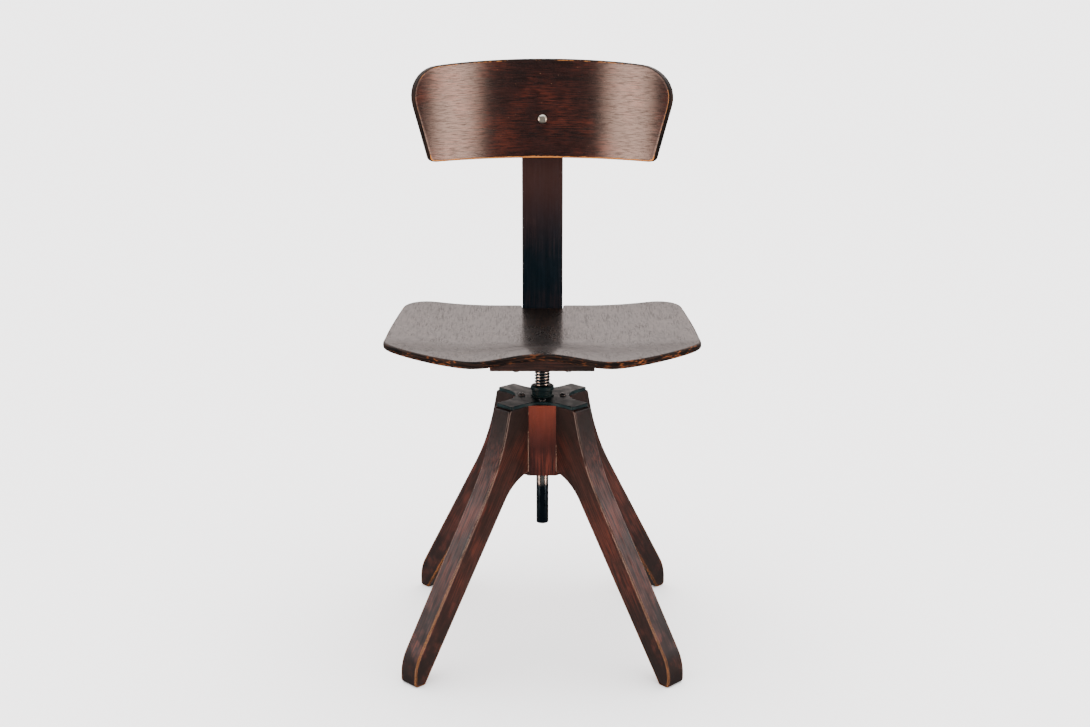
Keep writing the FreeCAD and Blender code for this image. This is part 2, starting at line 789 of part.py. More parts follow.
def seat_slab(name, level, thick):
    """A slab that follows the seat surface, larger all round than the seat."""
    over, steps = 12, 24
    half = S.seat_width.number / 2 + over
    front, rear = -S.seat_front.number - over, S.seat_rear.number + over
    grid = []
    for i in range(steps + 1):
        x = half * (2 * i / steps - 1)
        ys = [front + (rear - front) * j / steps for j in range(steps + 1)]
        grid.append([Vector(x, y, level.number + seat_surface(x, y)) for y in ys])
    surface = Part.BSplineSurface()
    surface.interpolate(grid)
    slab = doc.addObject("Part::Feature", name)
    slab.Shape = surface.toShape().extrude(Vector(0, 0, as_size(thick).number))
    return slab


def seat_shell():
    """Moulded plywood: rounded outline, notched at the back for the upright."""
    slab = seat_slab("seat_slab", SEAT_UNDER, S.seat_thick)
    body = new_body("seat_outline_body")
    outline = new_sketch(body, "seat_outline", offset=SEAT_UNDER - BEYOND)
    front = (S.seat_width / 2 - S.seat_front_inset, -S.seat_front)
    rear = (S.seat_width / 2 - S.seat_rear_inset, S.seat_rear)
    polygon(outline, [front, rear, (-rear[0], rear[1]), (-front[0], front[1])],
            {0: S.seat_side_round, 2: S.seat_side_round})
    pad(body, outline, S.seat_thick + S.seat_front_rise + BEYOND * 3)
    depth = (S.seat_front + S.seat_rear).number
    front_round = fits(S.seat_front_round, math.pi / 2, front[0].number, depth * 0.6)
    rear_round = fits(S.seat_rear_round, math.pi / 2, depth * 0.3)
    for (x, y), radius in ((front, front_round), (rear, rear_round)):
        round_edges(body, corner_edges(body.Shape, x, y) + corner_edges(body.Shape, -x, y), radius)
    notch = new_sketch(body, "seat_notch", offset=SEAT_UNDER - BEYOND - SPARE)
    side = S.upright_width / 2 + S.notch_gap
    rectangle(notch, -side, side, UPRIGHT_FRONT - S.notch_gap * 5, S.seat_rear + BEYOND)
    pocket(body, notch, S.seat_thick + S.seat_front_rise + BEYOND * 4)
    blank = doc.addObject("Part::Common", "seat_blank")
    blank.Base = body
    blank.Tool = slab
    doc.recompute()
    holes = screw_holes("seat_screw", BLOCK_SCREWS, BLOCK_BOTTOM, S.long_screw, True)
    drilled = cut("seat_drilled", blank, holes)
    rim = []
    for i, edge in enumerate(drilled.Shape.Edges, start=1):
        box = edge.BoundBox
        inside = abs(box.Center.x) < side.number + 2
        if edge.Length > 20 and not inside and box.DiagonalLength > S.seat_thick.number * 1.6:
            rim.append((i, S.seat_rim.number, S.seat_rim.number))
    shell = doc.addObject("Part::Fillet", "seat_shell")
    shell.Base = drilled
    shell.Edges = rim
    doc.recompute()
    keep(shell, "seat_shell")


def seat_block():
    """Hardwood block under the seat; its top follows the moulded surface."""
    body = new_body("block_body")
    outline = new_sketch(body, "block_outline", offset=BLOCK_BOTTOM)
    wide, deep = S.block_width / 2, S.block_depth / 2
    rectangle(outline, -wide, wide, -deep, deep)
    pad(body, outline, S.block_thick + BEYOND * 2)
    channel = new_sketch(body, "block_channel", offset=RAIL_MIDDLE - S.glue_gap)
    side = S.upright_width / 2 + S.notch_gap / 2
    rectangle(channel, -side, side, deep - S.lap_length, deep + SPARE)
    pocket(body, channel, S.block_thick + BEYOND * 2)
    boss = new_sketch(body, "boss_hole", offset=BLOCK_BOTTOM - SPARE)
    circle(boss, 0, 0, S.boss_radius + S.glue_gap)
    pocket(body, boss, S.block_thick + BEYOND * 3)
    long_edges = edges_where(body.Shape, lambda e: e.Length > 15
                             and e.BoundBox.ZMin < BLOCK_BOTTOM.number + 0.01
                             and e.Curve.TypeId == "Part::GeomLine")
    round_edges(body, long_edges, S.block_edge)
    over = seat_slab("block_trim", SEAT_UNDER - S.glue_gap * 2, BEYOND * 3)
    holes = screw_holes("block_screw", BLOCK_SCREWS, BLOCK_BOTTOM, S.long_screw, True)
    holes += screw_holes("lap_screw", LAP_SCREWS, BLOCK_BOTTOM, S.short_screw, True)
    holes += screw_holes("disc_screw", FLANGE_SCREWS, FLANGE_BOTTOM, FLANGE_SCREW, True)
    keep(cut("seat_block", body, [over] + holes), "seat_block")


def block_screws():
    screw_group("block_screws", LONG_SCREW, BLOCK_SCREWS, BLOCK_BOTTOM,
                [35, 100, 70, 160], upwards=True)


def upright():
    """Moulded strip: a post behind the sitter that bends forward under the seat."""
    body = new_body("upright_body")
    side = new_sketch(body, "upright_side", "YZ_Plane")
    lap = S.block_depth / 2
    polygon(side, [(UPRIGHT_FRONT, UPRIGHT_TOP), (UPRIGHT_FRONT, RAIL_TOP),
                   (lap - S.lap_length + S.notch_gap, RAIL_TOP),
                   (lap - S.lap_length + S.notch_gap, RAIL_MIDDLE),
                   (lap + S.notch_gap, RAIL_MIDDLE), (lap + S.notch_gap, RAIL_BOTTOM),
                   (S.seat_rear, RAIL_BOTTOM), (S.seat_rear, UPRIGHT_TOP)])
    pad(body, side, S.upright_width, centred=True)
    inner = edges_where(body.Shape, across_at(UPRIGHT_FRONT, RAIL_TOP))
    round_edges(body, inner, S.upright_bend)
    outer = edges_where(body.Shape, across_at(S.seat_rear, RAIL_BOTTOM))
    round_edges(body, outer, S.upright_bend + S.upright_thick)
    half = S.upright_width.number / 2
    top = edges_where(body.Shape, lambda e: abs(abs(e.CenterOfMass.x) - half) < 0.01
                      and abs(e.CenterOfMass.z - UPRIGHT_TOP.number) < 0.01)
    round_edges(body, top, S.upright_corner)
    post = edges_where(body.Shape, lambda e: abs(abs(e.CenterOfMass.x) - half) < 0.01
                       and e.BoundBox.ZLength > 100 and e.BoundBox.YLength < 1)
    round_edges(body, post, S.upright_edge)
    slot = new_sketch(body, "upright_slot", "XZ_Plane")
    end = S.slot_travel + S.tongue_tall / 2 + S.slot_clear
    wide = S.slot_width / 2
    rectangle(slot, -wide, wide, BOLT_LEVEL - end, BOLT_LEVEL + end)
    pocket(body, slot)
    holes = screw_holes("upright_screw", LAP_SCREWS, BLOCK_BOTTOM, S.short_screw, True)
    keep(cut("upright", body, holes), "upright")


def upright_screws():
    screw_group("lap_screws", SHORT_SCREW, LAP_SCREWS, BLOCK_BOTTOM, [15, 65], upwards=True)


# ---------------------------------------------------------------- backrest
def backrest_shell():
    """Plywood bent around an upright axis, with its edges cut square to the sheet.

    The front outline trims the rear surface, and the sheet's thickness then grows inwards
    from that surface along its own normals.
    """
    arc = doc.addObject("Part::Circle", "backrest_arc")
    bind(arc, "Radius", S.back_bend)
    arc.Angle1, arc.Angle2 = 0, 180
    arc.Placement.Base = Vector(0, BACK_AXIS.number, BACK_BOTTOM.number)
    sheet_face = doc.addObject("Part::Extrusion", "backrest_sheet")
    sheet_face.Base = arc
    sheet_face.DirMode = "Custom"
    sheet_face.Dir = Vector(0, 0, 1)
    bind(sheet_face, "LengthFwd", S.back_tall)
    face = new_body("backrest_face")
    front = new_sketch(face, "face_outline", "XZ_Plane")
    low, high = S.back_low_width / 2, S.back_high_width / 2
    shoulder = BACK_BOTTOM + S.back_tall - S.back_crown
    arch = (high * high + S.back_crown * S.back_crown) / (S.back_crown * 2)
    polygon(front, [(-low, BACK_BOTTOM), (low, BACK_BOTTOM),
                    (high, shoulder), (-high, shoulder)], {2: arch})
    pad(face, front, S.back_bend * 2 + BEYOND * 2, centred=True)
    for x, z, radius in ((high, shoulder, S.back_corner), (low, BACK_BOTTOM, S.back_low_corner)):
        names = [name for side in (x, -x)
                 for name in edges_where(face.Shape, across_front(side, z))]
        round_edges(face, names, radius)
    trimmed = doc.addObject("Part::Common", "backrest_trimmed")
    trimmed.Base = sheet_face
    trimmed.Tool = face
    blank = doc.addObject("Part::Offset", "backrest_blank")
    blank.Source = trimmed
    bind(blank, "Value", S.back_thick)
    blank.Fill = True
    doc.recompute()
    bolt = cylinder("backrest_bolt_hole", S.bolt_radius + S.glue_gap, BEYOND * 2,
                    Vector(0, BACK_OUTER.number - BEYOND, BOLT_LEVEL.number), Vector(0, 1, 0))
    head = cylinder("bolt_head_seat", S.bolt_head + S.head_clear, BEYOND,
                    Vector(0, HEAD_SEAT.number - BEYOND, BOLT_LEVEL.number), Vector(0, 1, 0))
    drilled = cut("backrest_drilled", blank, [bolt, head])
    rim = []
    for i, edge in enumerate(drilled.Shape.Edges, start=1):
        box = edge.BoundBox
        across = box.DiagonalLength <= S.back_thick.number * 1.3
        hole = abs(box.Center.x) < 10 and box.DiagonalLength < 30
        if not across and not hole:
            rim.append((i, S.back_rim.number, S.back_rim.number))
    shell = doc.addObject("Part::Fillet", "backrest_shell")
    shell.Base = drilled
    shell.Edges = rim
    doc.recompute()
    keep(shell, "backrest_shell")


def backrest_saddle():
    """Wooden pad between shell and upright, with a tongue that runs in the slot."""
    body = new_body("saddle_body")
    plan = new_sketch(body, "saddle_plan", offset=BOLT_LEVEL - S.saddle_tall / 2)
    half, rear = S.saddle_width / 2, UPRIGHT_FRONT - S.face_gap
    rectangle(plan, -half, half, rear - S.saddle_thick - S.saddle_horn, rear)
    pad(body, plan, S.saddle_tall)
    corners = edges_where(body.Shape, lambda e: e.BoundBox.YLength > 5)
    round_edges(body, corners, S.saddle_corner)
    tongue = new_sketch(body, "saddle_tongue", offset=BOLT_LEVEL - S.tongue_tall / 2)
    thin = S.slot_width / 2 - S.face_gap
    rectangle(tongue, -thin, thin, rear - SPARE, S.seat_rear - S.tongue_short)
    pad(body, tongue, S.tongue_tall)
    start = Vector(0, BACK_AXIS.number, BOLT_LEVEL.number - S.saddle_tall.number)
    hollow = cylinder("saddle_hollow", S.back_bend + S.glue_gap, S.saddle_tall * 2, start)
    bolt = cylinder("saddle_bolt_hole", S.bolt_radius + S.glue_gap, BEYOND * 3,
                    Vector(0, BACK_OUTER.number - BEYOND, BOLT_LEVEL.number), Vector(0, 1, 0))
    keep(cut("backrest_saddle", body, [hollow, bolt]), "backrest_saddle")


def backrest_bolt():
    """Round-head bolt with a screwdriver slot, from the shell out past the wing nut."""
    body = new_body("bolt_body")
    side = new_sketch(body, "bolt_side", "YZ_Plane")
    level = BOLT_LEVEL
    rectangle(side, HEAD_SEAT, BOLT_END, level, level + S.bolt_radius)
    head = new_sketch(body, "bolt_head_side", "YZ_Plane")
    rectangle(head, HEAD_SEAT - S.bolt_dome, HEAD_SEAT, level, level + S.bolt_head)
    for sketch in (side, head):
        turned = body.newObject("PartDesign::Revolution", sketch.Name + "_turned")
        turned.Profile = sketch
        turned.ReferenceAxis = (sketch, ["Edge1"])
        turned.Angle = 360
        doc.recompute()
    dome = edges_where(body.Shape, lambda e: e.BoundBox.YLength < 0.01
                       and abs(e.CenterOfMass.y - (HEAD_SEAT - S.bolt_dome).number) < 0.01)
    round_edges(body, dome, S.bolt_dome * 0.85)
    end = edges_where(body.Shape, lambda e: e.BoundBox.YLength < 0.01
                      and abs(e.CenterOfMass.y - BOLT_END.number) < 0.01)
    round_edges(body, end, S.bolt_end_round)
    slot = doc.addObject("Part::Box", "bolt_slot")
    bind(slot, "Length", S.bolt_head * 4)
    bind(slot, "Width", S.bolt_slot_depth + SPARE)
    bind(slot, "Height", S.bolt_slot)
    middle = Vector(0, (HEAD_SEAT - S.bolt_dome).number, level.number)
    turn = Rotation(Vector(0, 1, 0), S.bolt_slot_turn.number)
    corner = Vector(-S.bolt_head.number * 2, -SPARE, -S.bolt_slot.number / 2)
    slot.Placement = Placement(middle + turn.multVec(corner), turn)
    keep(cut("backrest_bolt", body, [slot]), "backrest_bolt")


def backrest_washer():
    ring = doc.addObject("Part::Cut", "backrest_washer")
    base = Vector(0, (S.seat_rear + S.face_gap).number, BOLT_LEVEL.number)
    ring.Base = cylinder("washer_disc", S.washer_radius, S.washer_thick, base, Vector(0, 1, 0))
    ring.Tool = cylinder("washer_hole", S.bolt_radius + S.glue_gap, S.washer_thick + SPARE * 2,
                         base - Vector(0, SPARE, 0), Vector(0, 1, 0))
    doc.recompute()
    keep(ring, "backrest_washer")


def wing_nut():
    """Conical hub with two raised wings, turned by hand to free the backrest."""
    start = S.seat_rear + S.face_gap * 2 + S.washer_thick
    level = BOLT_LEVEL.number
    hub = doc.addObject("Part::Cone", "wing_hub")
    bind(hub, "Radius1", S.wing_hub_wide)
    bind(hub, "Radius2", S.wing_hub_narrow)
    bind(hub, "Height", S.wing_hub)
    turn = Rotation(Vector(0, 0, 1), Vector(0, 1, 0))
    hub.Placement = Placement(Vector(0, start.number, level), turn)
    wings = []
    for side in (1, -1):
        body = new_body("wing_%s" % ("right" if side > 0 else "left"))
        flat = new_sketch(body, body.Name + "_flat", "XY_Plane")
        near = start + S.wing_base
        polygon(flat, [(S.wing_start * side, near), (S.wing_neck * side, near),
                       (S.wing_outer * side, near + S.wing_sweep),
                       (S.wing_reach * side, near + S.wing_high_side),
                       (S.wing_inner * side, near + S.wing_high_top),
                       (S.wing_start * side, near + S.wing_low_top)])
        pad(body, flat, S.wing_thick, centred=True)
        outer = edges_where(body.Shape, lambda e: e.BoundBox.ZLength > S.wing_thick.number * 0.8
                            and abs(e.CenterOfMass.x) > S.wing_hub_wide.number)
        round_edges(body, outer, S.wing_round)
        body.Placement.Base = Vector(0, 0, level)
        wings.append(body)
    whole = doc.addObject("Part::MultiFuse", "wing_whole")
    whole.Shapes = [hub] + wings
    bore = cylinder("wing_bore", S.bolt_radius + S.running_fit, BEYOND * 2,
                    Vector(0, start.number - SPARE, level), Vector(0, 1, 0))
    keep(cut("wing_nut", whole, [bore]), "wing_nut")


# ---------------------------------------------------------------- build and export
for label, angle in LEG_TURNS.items():
    leg(label, angle)
for maker in (hub_column, leg_dowels, spider_plate, spindle_nut, collar_screws, guide_bush,
              spindle, spindle_flange, flange_screws, seat_shell, seat_block, block_screws,
              upright, upright_screws, backrest_shell, backrest_saddle, backrest_bolt,
              backrest_washer, wing_nut):
    maker()
doc.recompute()

for obj in doc.Objects:
    if "Invalid" in obj.State or "Error" in obj.State:
        raise RuntimeError("%s (%s) did not recompute" % (obj.Name, obj.Label))

os.makedirs("parts", exist_ok=True)
for part in PARTS:
    shape = part.Shape
    if shape.isNull() or not shape.isValid():
        raise RuntimeError(part.Label + " has no valid shape")
    shape.exportStep("parts/%s.step" % part.Label)
    print("%-18s %2d solid(s) %10.1f mm3" % (part.Label, len(shape.Solids), shape.Volume))
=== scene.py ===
# %% [markdown]
# # An old drafting chair
#
# The chair is a stained and lacquered screw stool: four scrolled legs round a square hub, an iron
# cross, a steel spindle, a pressed plywood seat and a bent plywood back on one upright. The
# mechanical model gives every place and size. This lesson gives it old wood, worn edges and iron,
# and models afresh the three pieces whose shape carries the look: seat, back and thread.

# %% Open the frame
import math

import bmesh
import bpy
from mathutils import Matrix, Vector
from mathutils.geometry import intersect_point_line
from mathutils.kdtree import KDTree


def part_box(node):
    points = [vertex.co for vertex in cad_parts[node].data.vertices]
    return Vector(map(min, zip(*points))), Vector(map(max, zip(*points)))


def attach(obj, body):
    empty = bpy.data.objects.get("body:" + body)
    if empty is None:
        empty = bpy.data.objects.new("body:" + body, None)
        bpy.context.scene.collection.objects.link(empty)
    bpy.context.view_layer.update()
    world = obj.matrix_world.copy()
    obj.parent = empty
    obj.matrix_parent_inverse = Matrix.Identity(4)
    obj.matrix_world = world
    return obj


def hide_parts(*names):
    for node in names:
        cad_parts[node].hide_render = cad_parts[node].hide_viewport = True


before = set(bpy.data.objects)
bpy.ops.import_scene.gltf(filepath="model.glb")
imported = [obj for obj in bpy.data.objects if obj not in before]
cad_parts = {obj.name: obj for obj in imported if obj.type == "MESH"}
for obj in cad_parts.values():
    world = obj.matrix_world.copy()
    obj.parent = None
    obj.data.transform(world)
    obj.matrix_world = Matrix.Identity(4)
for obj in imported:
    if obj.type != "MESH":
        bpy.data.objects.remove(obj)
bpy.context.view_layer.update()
MM = 0.001
print("CAD nodes:", len(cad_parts))

# %% [markdown]
# ## Camera and floor
#
# A camera at table height looks slightly down. The studio is a pale floor that runs out of sight.
# Lacquer would mirror that pale floor and turn the dark stain milky, so the floor is left out of
# reflections, and the tone of the room stands in for it there.

# %% Camera
CAMERA_PLACE = (0.0035, -1.9, 0.8593)
CAMERA_DOWN = 14.38

bpy.ops.object.camera_add(location=CAMERA_PLACE,
                          rotation=(math.radians(90 - CAMERA_DOWN), 0, 0))
camera = bpy.context.active_object
camera.data.lens = 50
camera.data.sensor_width = 36
bpy.context.scene.camera = camera
print("camera looks down by", CAMERA_DOWN, "degrees")

# %% Floor
FLOOR_SIZE = 400
PAPER_WHITE = (0.88, 0.88, 0.885, 1)
PAPER_ROUGHNESS = 0.7

bpy.ops.mesh.primitive_plane_add(size=FLOOR_SIZE)
floor = bpy.context.active_object
floor.name = "studio_floor"
paper = bpy.data.materials.new("studio_paper")
paper.use_nodes = True
paint = paper.node_tree.nodes["Principled BSDF"]
paint.inputs["Roughness"].default_value = PAPER_ROUGHNESS
paint.inputs["Specular IOR Level"].default_value = 0.0
paint.inputs["Base Color"].default_value = PAPER_WHITE
floor.data.materials.append(paper)
floor.visible_glossy = False
print("floor:", FLOOR_SIZE, "m across")

# %% [markdown]
# ## Wiring finishes
#
# Every finish is a small web of shader nodes. A helper class keeps the wiring readable: each of
# its methods adds one node and hands back its output.

# %% A helper for node trees
class Wires:
    """Adds nodes to one tree, and links or sets whatever is handed in to their inputs."""

    def __init__(self, tree):
        self.tree = tree

    def node(self, kind, inputs=(), **settings):
        made = self.tree.nodes.new("ShaderNode" + kind)
        for name, value in settings.items():
            setattr(made, name, value)
        for name, value in dict(inputs).items():
            self.feed(made.inputs[name], value)
        return made

    def feed(self, socket, value):
        if isinstance(value, bpy.types.NodeSocket):
            self.tree.links.new(value, socket)
        else:
            socket.default_value = value

    def stretch(self, vector, along, across, up=None):
        """Coordinates scaled per axis, in pattern cells a metre."""
        scale = (along, across, across if up is None else up)
        return self.node("Mapping", {"Vector": vector, "Scale": scale}).outputs["Vector"]

    def noise(self, vector, scale=1.0, detail=3.0, rough=0.55):
        inputs = {"Vector": vector, "Scale": scale, "Detail": detail, "Roughness": rough}
        return self.node("TexNoise", inputs).outputs["Fac"]

    def maths(self, operation, first, second=0.0):
        made = self.node("Math", operation=operation)
        self.feed(made.inputs[0], first)
        self.feed(made.inputs[1], second)
        return made.outputs["Value"]

    def times(self, first, second):
        return self.maths("MULTIPLY", first, second)

    def less(self, value):
        """What is left of 1 when the value is taken away."""
        return self.maths("SUBTRACT", 1.0, value)

    def shares(self, first, share, second, other_share):
        """The sum of two values, each multiplied by its share."""
        return self.maths("ADD", self.times(first, share), self.times(second, other_share))

    def between(self, value, low, high):
        """0 below low, 1 above high and a smooth rise between; swap the two to turn it round."""
        inputs = {"Value": value, "From Min": low, "From Max": high}
        made = self.node("MapRange", inputs, interpolation_type="SMOOTHSTEP")
        return made.outputs["Result"]

    def blend(self, factor, first, second):
        """The first colour where the factor is 0, and the second where it is 1."""
        made = self.node("Mix", data_type="RGBA")
        self.feed(made.inputs["Factor"], factor)
        self.feed(made.inputs[6], first)
        self.feed(made.inputs[7], second)
        return made.outputs[2]


def new_group(name, inputs, outputs):
    """An empty shader node group, with its wires and its two end nodes."""
    tree = bpy.data.node_groups.new(name, "ShaderNodeTree")
    for direction, sockets in (("INPUT", inputs), ("OUTPUT", outputs)):
        for label, kind in sockets:
            tree.interface.new_socket(label, in_out=direction, socket_type="NodeSocket" + kind)
    wires = Wires(tree)
    start = tree.nodes.new("NodeGroupInput").outputs
    end = tree.nodes.new("NodeGroupOutput").inputs
    return wires, start, end


# %% [markdown]
# ## The light of the room
#
# All light comes from the room around the chair: bright overhead, fainter and a little warm
# behind, and dim in front, so that the flat seat mirrors a grey glow and upright dark wood stays
# dark. Lamps could do the same, but each would show as a hard spot in the lacquer. Two warm
# patches stand out to the sides. The hollow back acts as a trough mirror, and turns each of them
# into one upright band of sheen. The tone follows the direction alone, and what the camera itself
# would see of the room is plain and pale.

# %% Room
ROOM_DIM = 0.3
ROOM_BRIGHT = 6.0
ROOM_SEEN = 3.75
OVERHEAD_WAY = (0, 0.22, 0.975)
OVERHEAD_LIMITS = (-0.05, 1.05)
BEHIND_LIMITS = (0.3, 0.85)
PATCH_BRIGHT = 25
PATCH_TURN = 58
PATCH_RISE = -0.09
PATCH_LIMITS = (0.926, 1.01)
WARM = (1.0, 0.66, 0.52, 1)
PLAIN = (0.97, 0.975, 0.98, 1)
BEHIND = (1.0, 0.87, 0.83, 1)

world = bpy.data.worlds.new("studio")
world.use_nodes = True
bpy.context.scene.world = world
web = Wires(world.node_tree)
facing = web.node("TexCoord").outputs["Generated"]
lean = web.node("VectorMath", operation="DOT_PRODUCT")
web.feed(lean.inputs[0], facing)
web.feed(lean.inputs[1], OVERHEAD_WAY)
overhead = web.between(lean.outputs["Value"], *OVERHEAD_LIMITS)
glow = web.maths("ADD", web.times(overhead, ROOM_BRIGHT), ROOM_DIM)
ways = web.node("SeparateXYZ", {"Vector": facing}).outputs
aside = web.node("CombineXYZ", {"X": web.maths("ABSOLUTE", ways["X"]), "Y": ways["Y"],
                                "Z": ways["Z"]}).outputs["Vector"]
nearness = web.node("VectorMath", operation="DOT_PRODUCT")
web.feed(nearness.inputs[0], aside)
turned_out = math.radians(PATCH_TURN)
web.feed(nearness.inputs[1], (math.sin(turned_out), -math.cos(turned_out), PATCH_RISE))
patch = web.times(web.between(nearness.outputs["Value"], *PATCH_LIMITS), PATCH_BRIGHT)
shown = web.node("LightPath").outputs["Is Camera Ray"]
hidden = web.less(shown)
glow = web.shares(glow, hidden, shown, ROOM_SEEN)
neutral = world.node_tree.nodes["Background"]
behind = web.times(web.between(ways["Y"], *BEHIND_LIMITS), hidden)
web.feed(neutral.inputs["Color"], web.blend(behind, PLAIN, BEHIND))
web.feed(neutral.inputs["Strength"], glow)
warm = web.node("Background", {"Color": WARM, "Strength": web.times(patch, hidden)})
both = web.node("AddShader")
web.feed(both.inputs[0], neutral.outputs["Background"])
web.feed(both.inputs[1], warm.outputs["Background"])
web.feed(world.node_tree.nodes["World Output"].inputs["Surface"], both.outputs["Shader"])
print("room:", ROOM_DIM, "to", ROOM_BRIGHT, "with patches of", PATCH_BRIGHT)

# %% [markdown]
# ## Stained wood
#
# Beech under a dark red-brown stain shows three things at once: long fibres, broad bands where
# the growth rings were cut, and short dark pores that took up most stain. Each is noise on
# coordinates that are squeezed along the grain. Large soft clouds then let the red show through.
# The group only gives out a colour, a height, a roughness and a mask of the pores, so that any
# wood of the chair can use it with stains of its own.

# %% The wood group
PORE_LIMITS = (0.50, 0.62)
GRAIN_LIMITS = (0.36, 0.64)
FIBRE_LIMITS = (0.35, 0.65)
CLOUD_LIMITS = (0.42, 0.66)
SMUDGE_LIMITS = (0.35, 0.75)
SMUDGE_DULLS = 0.12

wires, given, out = new_group(
    "stained_wood",
    [("Vector", "Vector"), ("Dark", "Color"), ("Stain", "Color"), ("Bright", "Color"),
     ("Patches", "Float"), ("Pores", "Float"), ("Gloss", "Float"), ("Fineness", "Float")],
    [("Color", "Color"), ("Height", "Float"), ("Roughness", "Float"), ("Pore", "Float")])
fine = wires.node("VectorMath", operation="SCALE")
wires.feed(fine.inputs["Vector"], given["Vector"])
wires.feed(fine.inputs["Scale"], given["Fineness"])
fine = fine.outputs["Vector"]
fibre = wires.noise(wires.stretch(fine, 22, 620), detail=4)
band = wires.noise(wires.stretch(given["Vector"], 3.5, 70), detail=2)
tick = wires.noise(wires.stretch(fine, 36, 640), detail=2, rough=0.6)
cloud = wires.noise(given["Vector"], scale=17, detail=3)
smudge = wires.noise(given["Vector"], scale=48, detail=4)
pore = wires.between(tick, *PORE_LIMITS)
grain = wires.shares(fibre, 0.6, band, 0.4)
stained = wires.blend(wires.between(grain, *GRAIN_LIMITS), given["Dark"], given["Stain"])
red = wires.times(wires.between(cloud, *CLOUD_LIMITS), given["Patches"])
red = wires.times(red, wires.between(fibre, *FIBRE_LIMITS))
stained = wires.blend(red, stained, given["Bright"])
pored = wires.times(pore, given["Pores"])
stained = wires.blend(pored, stained, given["Dark"])
wires.feed(out["Color"], stained)
wires.feed(out["Height"], wires.shares(fibre, 0.5, pored, -0.5))
wires.feed(out["Pore"], pore)
handled = wires.times(wires.between(smudge, *SMUDGE_LIMITS), SMUDGE_DULLS)
wires.feed(out["Roughness"], wires.maths("ADD", given["Gloss"], handled))
print("group:", wires.tree.name)

# %% [markdown]
# ## Worn edges
#
# Wear comes first where a hand or a shoe rubs: on the arrises. A Bevel node rounds the normal
# near an edge, so where the rounded normal differs from the true one, an edge is close. Noise
# breaks that band into rubbed lengths, so no edge is bare from end to end.

# %% The edge wear group
EDGE_LIMITS = (0.015, 0.10)
BARE_ABOVE = 0.72
AMOUNT_LOWERS = 0.4
TEAR_WIDE = 0.06

wires, given, out = new_group(
    "worn_edges",
    [("Vector", "Vector"), ("Reach", "Float"), ("Amount", "Float")], [("Mask", "Float")])
rounded = wires.node("Bevel", {"Radius": given["Reach"]}, samples=6).outputs["Normal"]
faced = wires.node("NewGeometry").outputs["Normal"]
likeness = wires.node("VectorMath", operation="DOT_PRODUCT")
wires.feed(likeness.inputs[0], rounded)
wires.feed(likeness.inputs[1], faced)
edge = wires.between(wires.less(likeness.outputs["Value"]), *EDGE_LIMITS)
lengths = wires.noise(given["Vector"], scale=26, detail=4)
crumbs = wires.noise(given["Vector"], scale=420, detail=3)
broken = wires.shares(lengths, 0.7, crumbs, 0.3)
bare_above = wires.maths("SUBTRACT", BARE_ABOVE, wires.times(given["Amount"], AMOUNT_LOWERS))
torn = wires.between(broken, bare_above, wires.maths("ADD", bare_above, TEAR_WIDE))
wires.feed(out["Mask"], wires.times(edge, torn))
print("group:", wires.tree.name)

# %% [markdown]
# ## Wood materials
#
# One function makes every solid-wood finish. The grain runs along one direction of the piece, so a
# Mapping node first turns the coordinates until local X lies along it. Worn spots show pale bare
# wood, which is rougher. The pores have no lacquer, so the sheen breaks up along the grain.

# %% Solid wood
NEAR_BLACK = (0.006, 0.004, 0.004, 1)
DARK_STAIN = (0.014, 0.005, 0.004, 1)
RED_STAIN = (0.050, 0.012, 0.007, 1)
BRIGHT_STAIN = (0.13, 0.022, 0.009, 1)
BARE_WOOD = (0.60, 0.22, 0.05, 1)
PALE_RUB = (0.34, 0.19, 0.12, 1)
LACQUER_ROUGHNESS = 0.22
GRAIN_DEEP = 0.4 * MM
GRAIN_STRENGTH = 0.25
FOOT_SOLE, FOOT_TOP = 0.01, 0.19
# Heights between which the leg's top, beside the hub and under the iron cross, gets painted shade.
PAINTED_SHADE_LOW, PAINTED_SHADE_HIGH = 0.24, 0.31
DIRT_LIMITS = (0.36, 0.54)


def place_on(wires, turn, source):
    """The coordinates of the piece, turned so that local X lies along its grain."""
    angles = tuple(math.radians(a) for a in turn)
    return wires.node("Mapping", {"Vector": source, "Rotation": angles},
                      vector_type="TEXTURE").outputs["Vector"]


def lacquered(material, wires, color, roughness, height, coat, specular=0.12):
    """Joins a finish to the material's own shader; coat masks the lacquer over it."""
    shader = material.node_tree.nodes["Principled BSDF"]
    wires.feed(shader.inputs["Base Color"], color)
    wires.feed(shader.inputs["Roughness"], roughness)
    wires.feed(shader.inputs["Coat Weight"], coat)
    shader.inputs["Specular IOR Level"].default_value = specular
    shader.inputs["Coat Roughness"].default_value = LACQUER_ROUGHNESS
    bump = wires.node("Bump", {"Height": height, "Strength": GRAIN_STRENGTH,
                               "Distance": GRAIN_DEEP})
    wires.feed(shader.inputs["Normal"], bump.outputs["Normal"])


def new_material(name):
    material = bpy.data.materials.new(name)
    material.use_nodes = True
    return material, Wires(material.node_tree)


def use_group(wires, name, **values):
    made = wires.node("Group", node_tree=bpy.data.node_groups[name])
    for label, value in values.items():
        wires.feed(made.inputs[label], value)
    return made.outputs


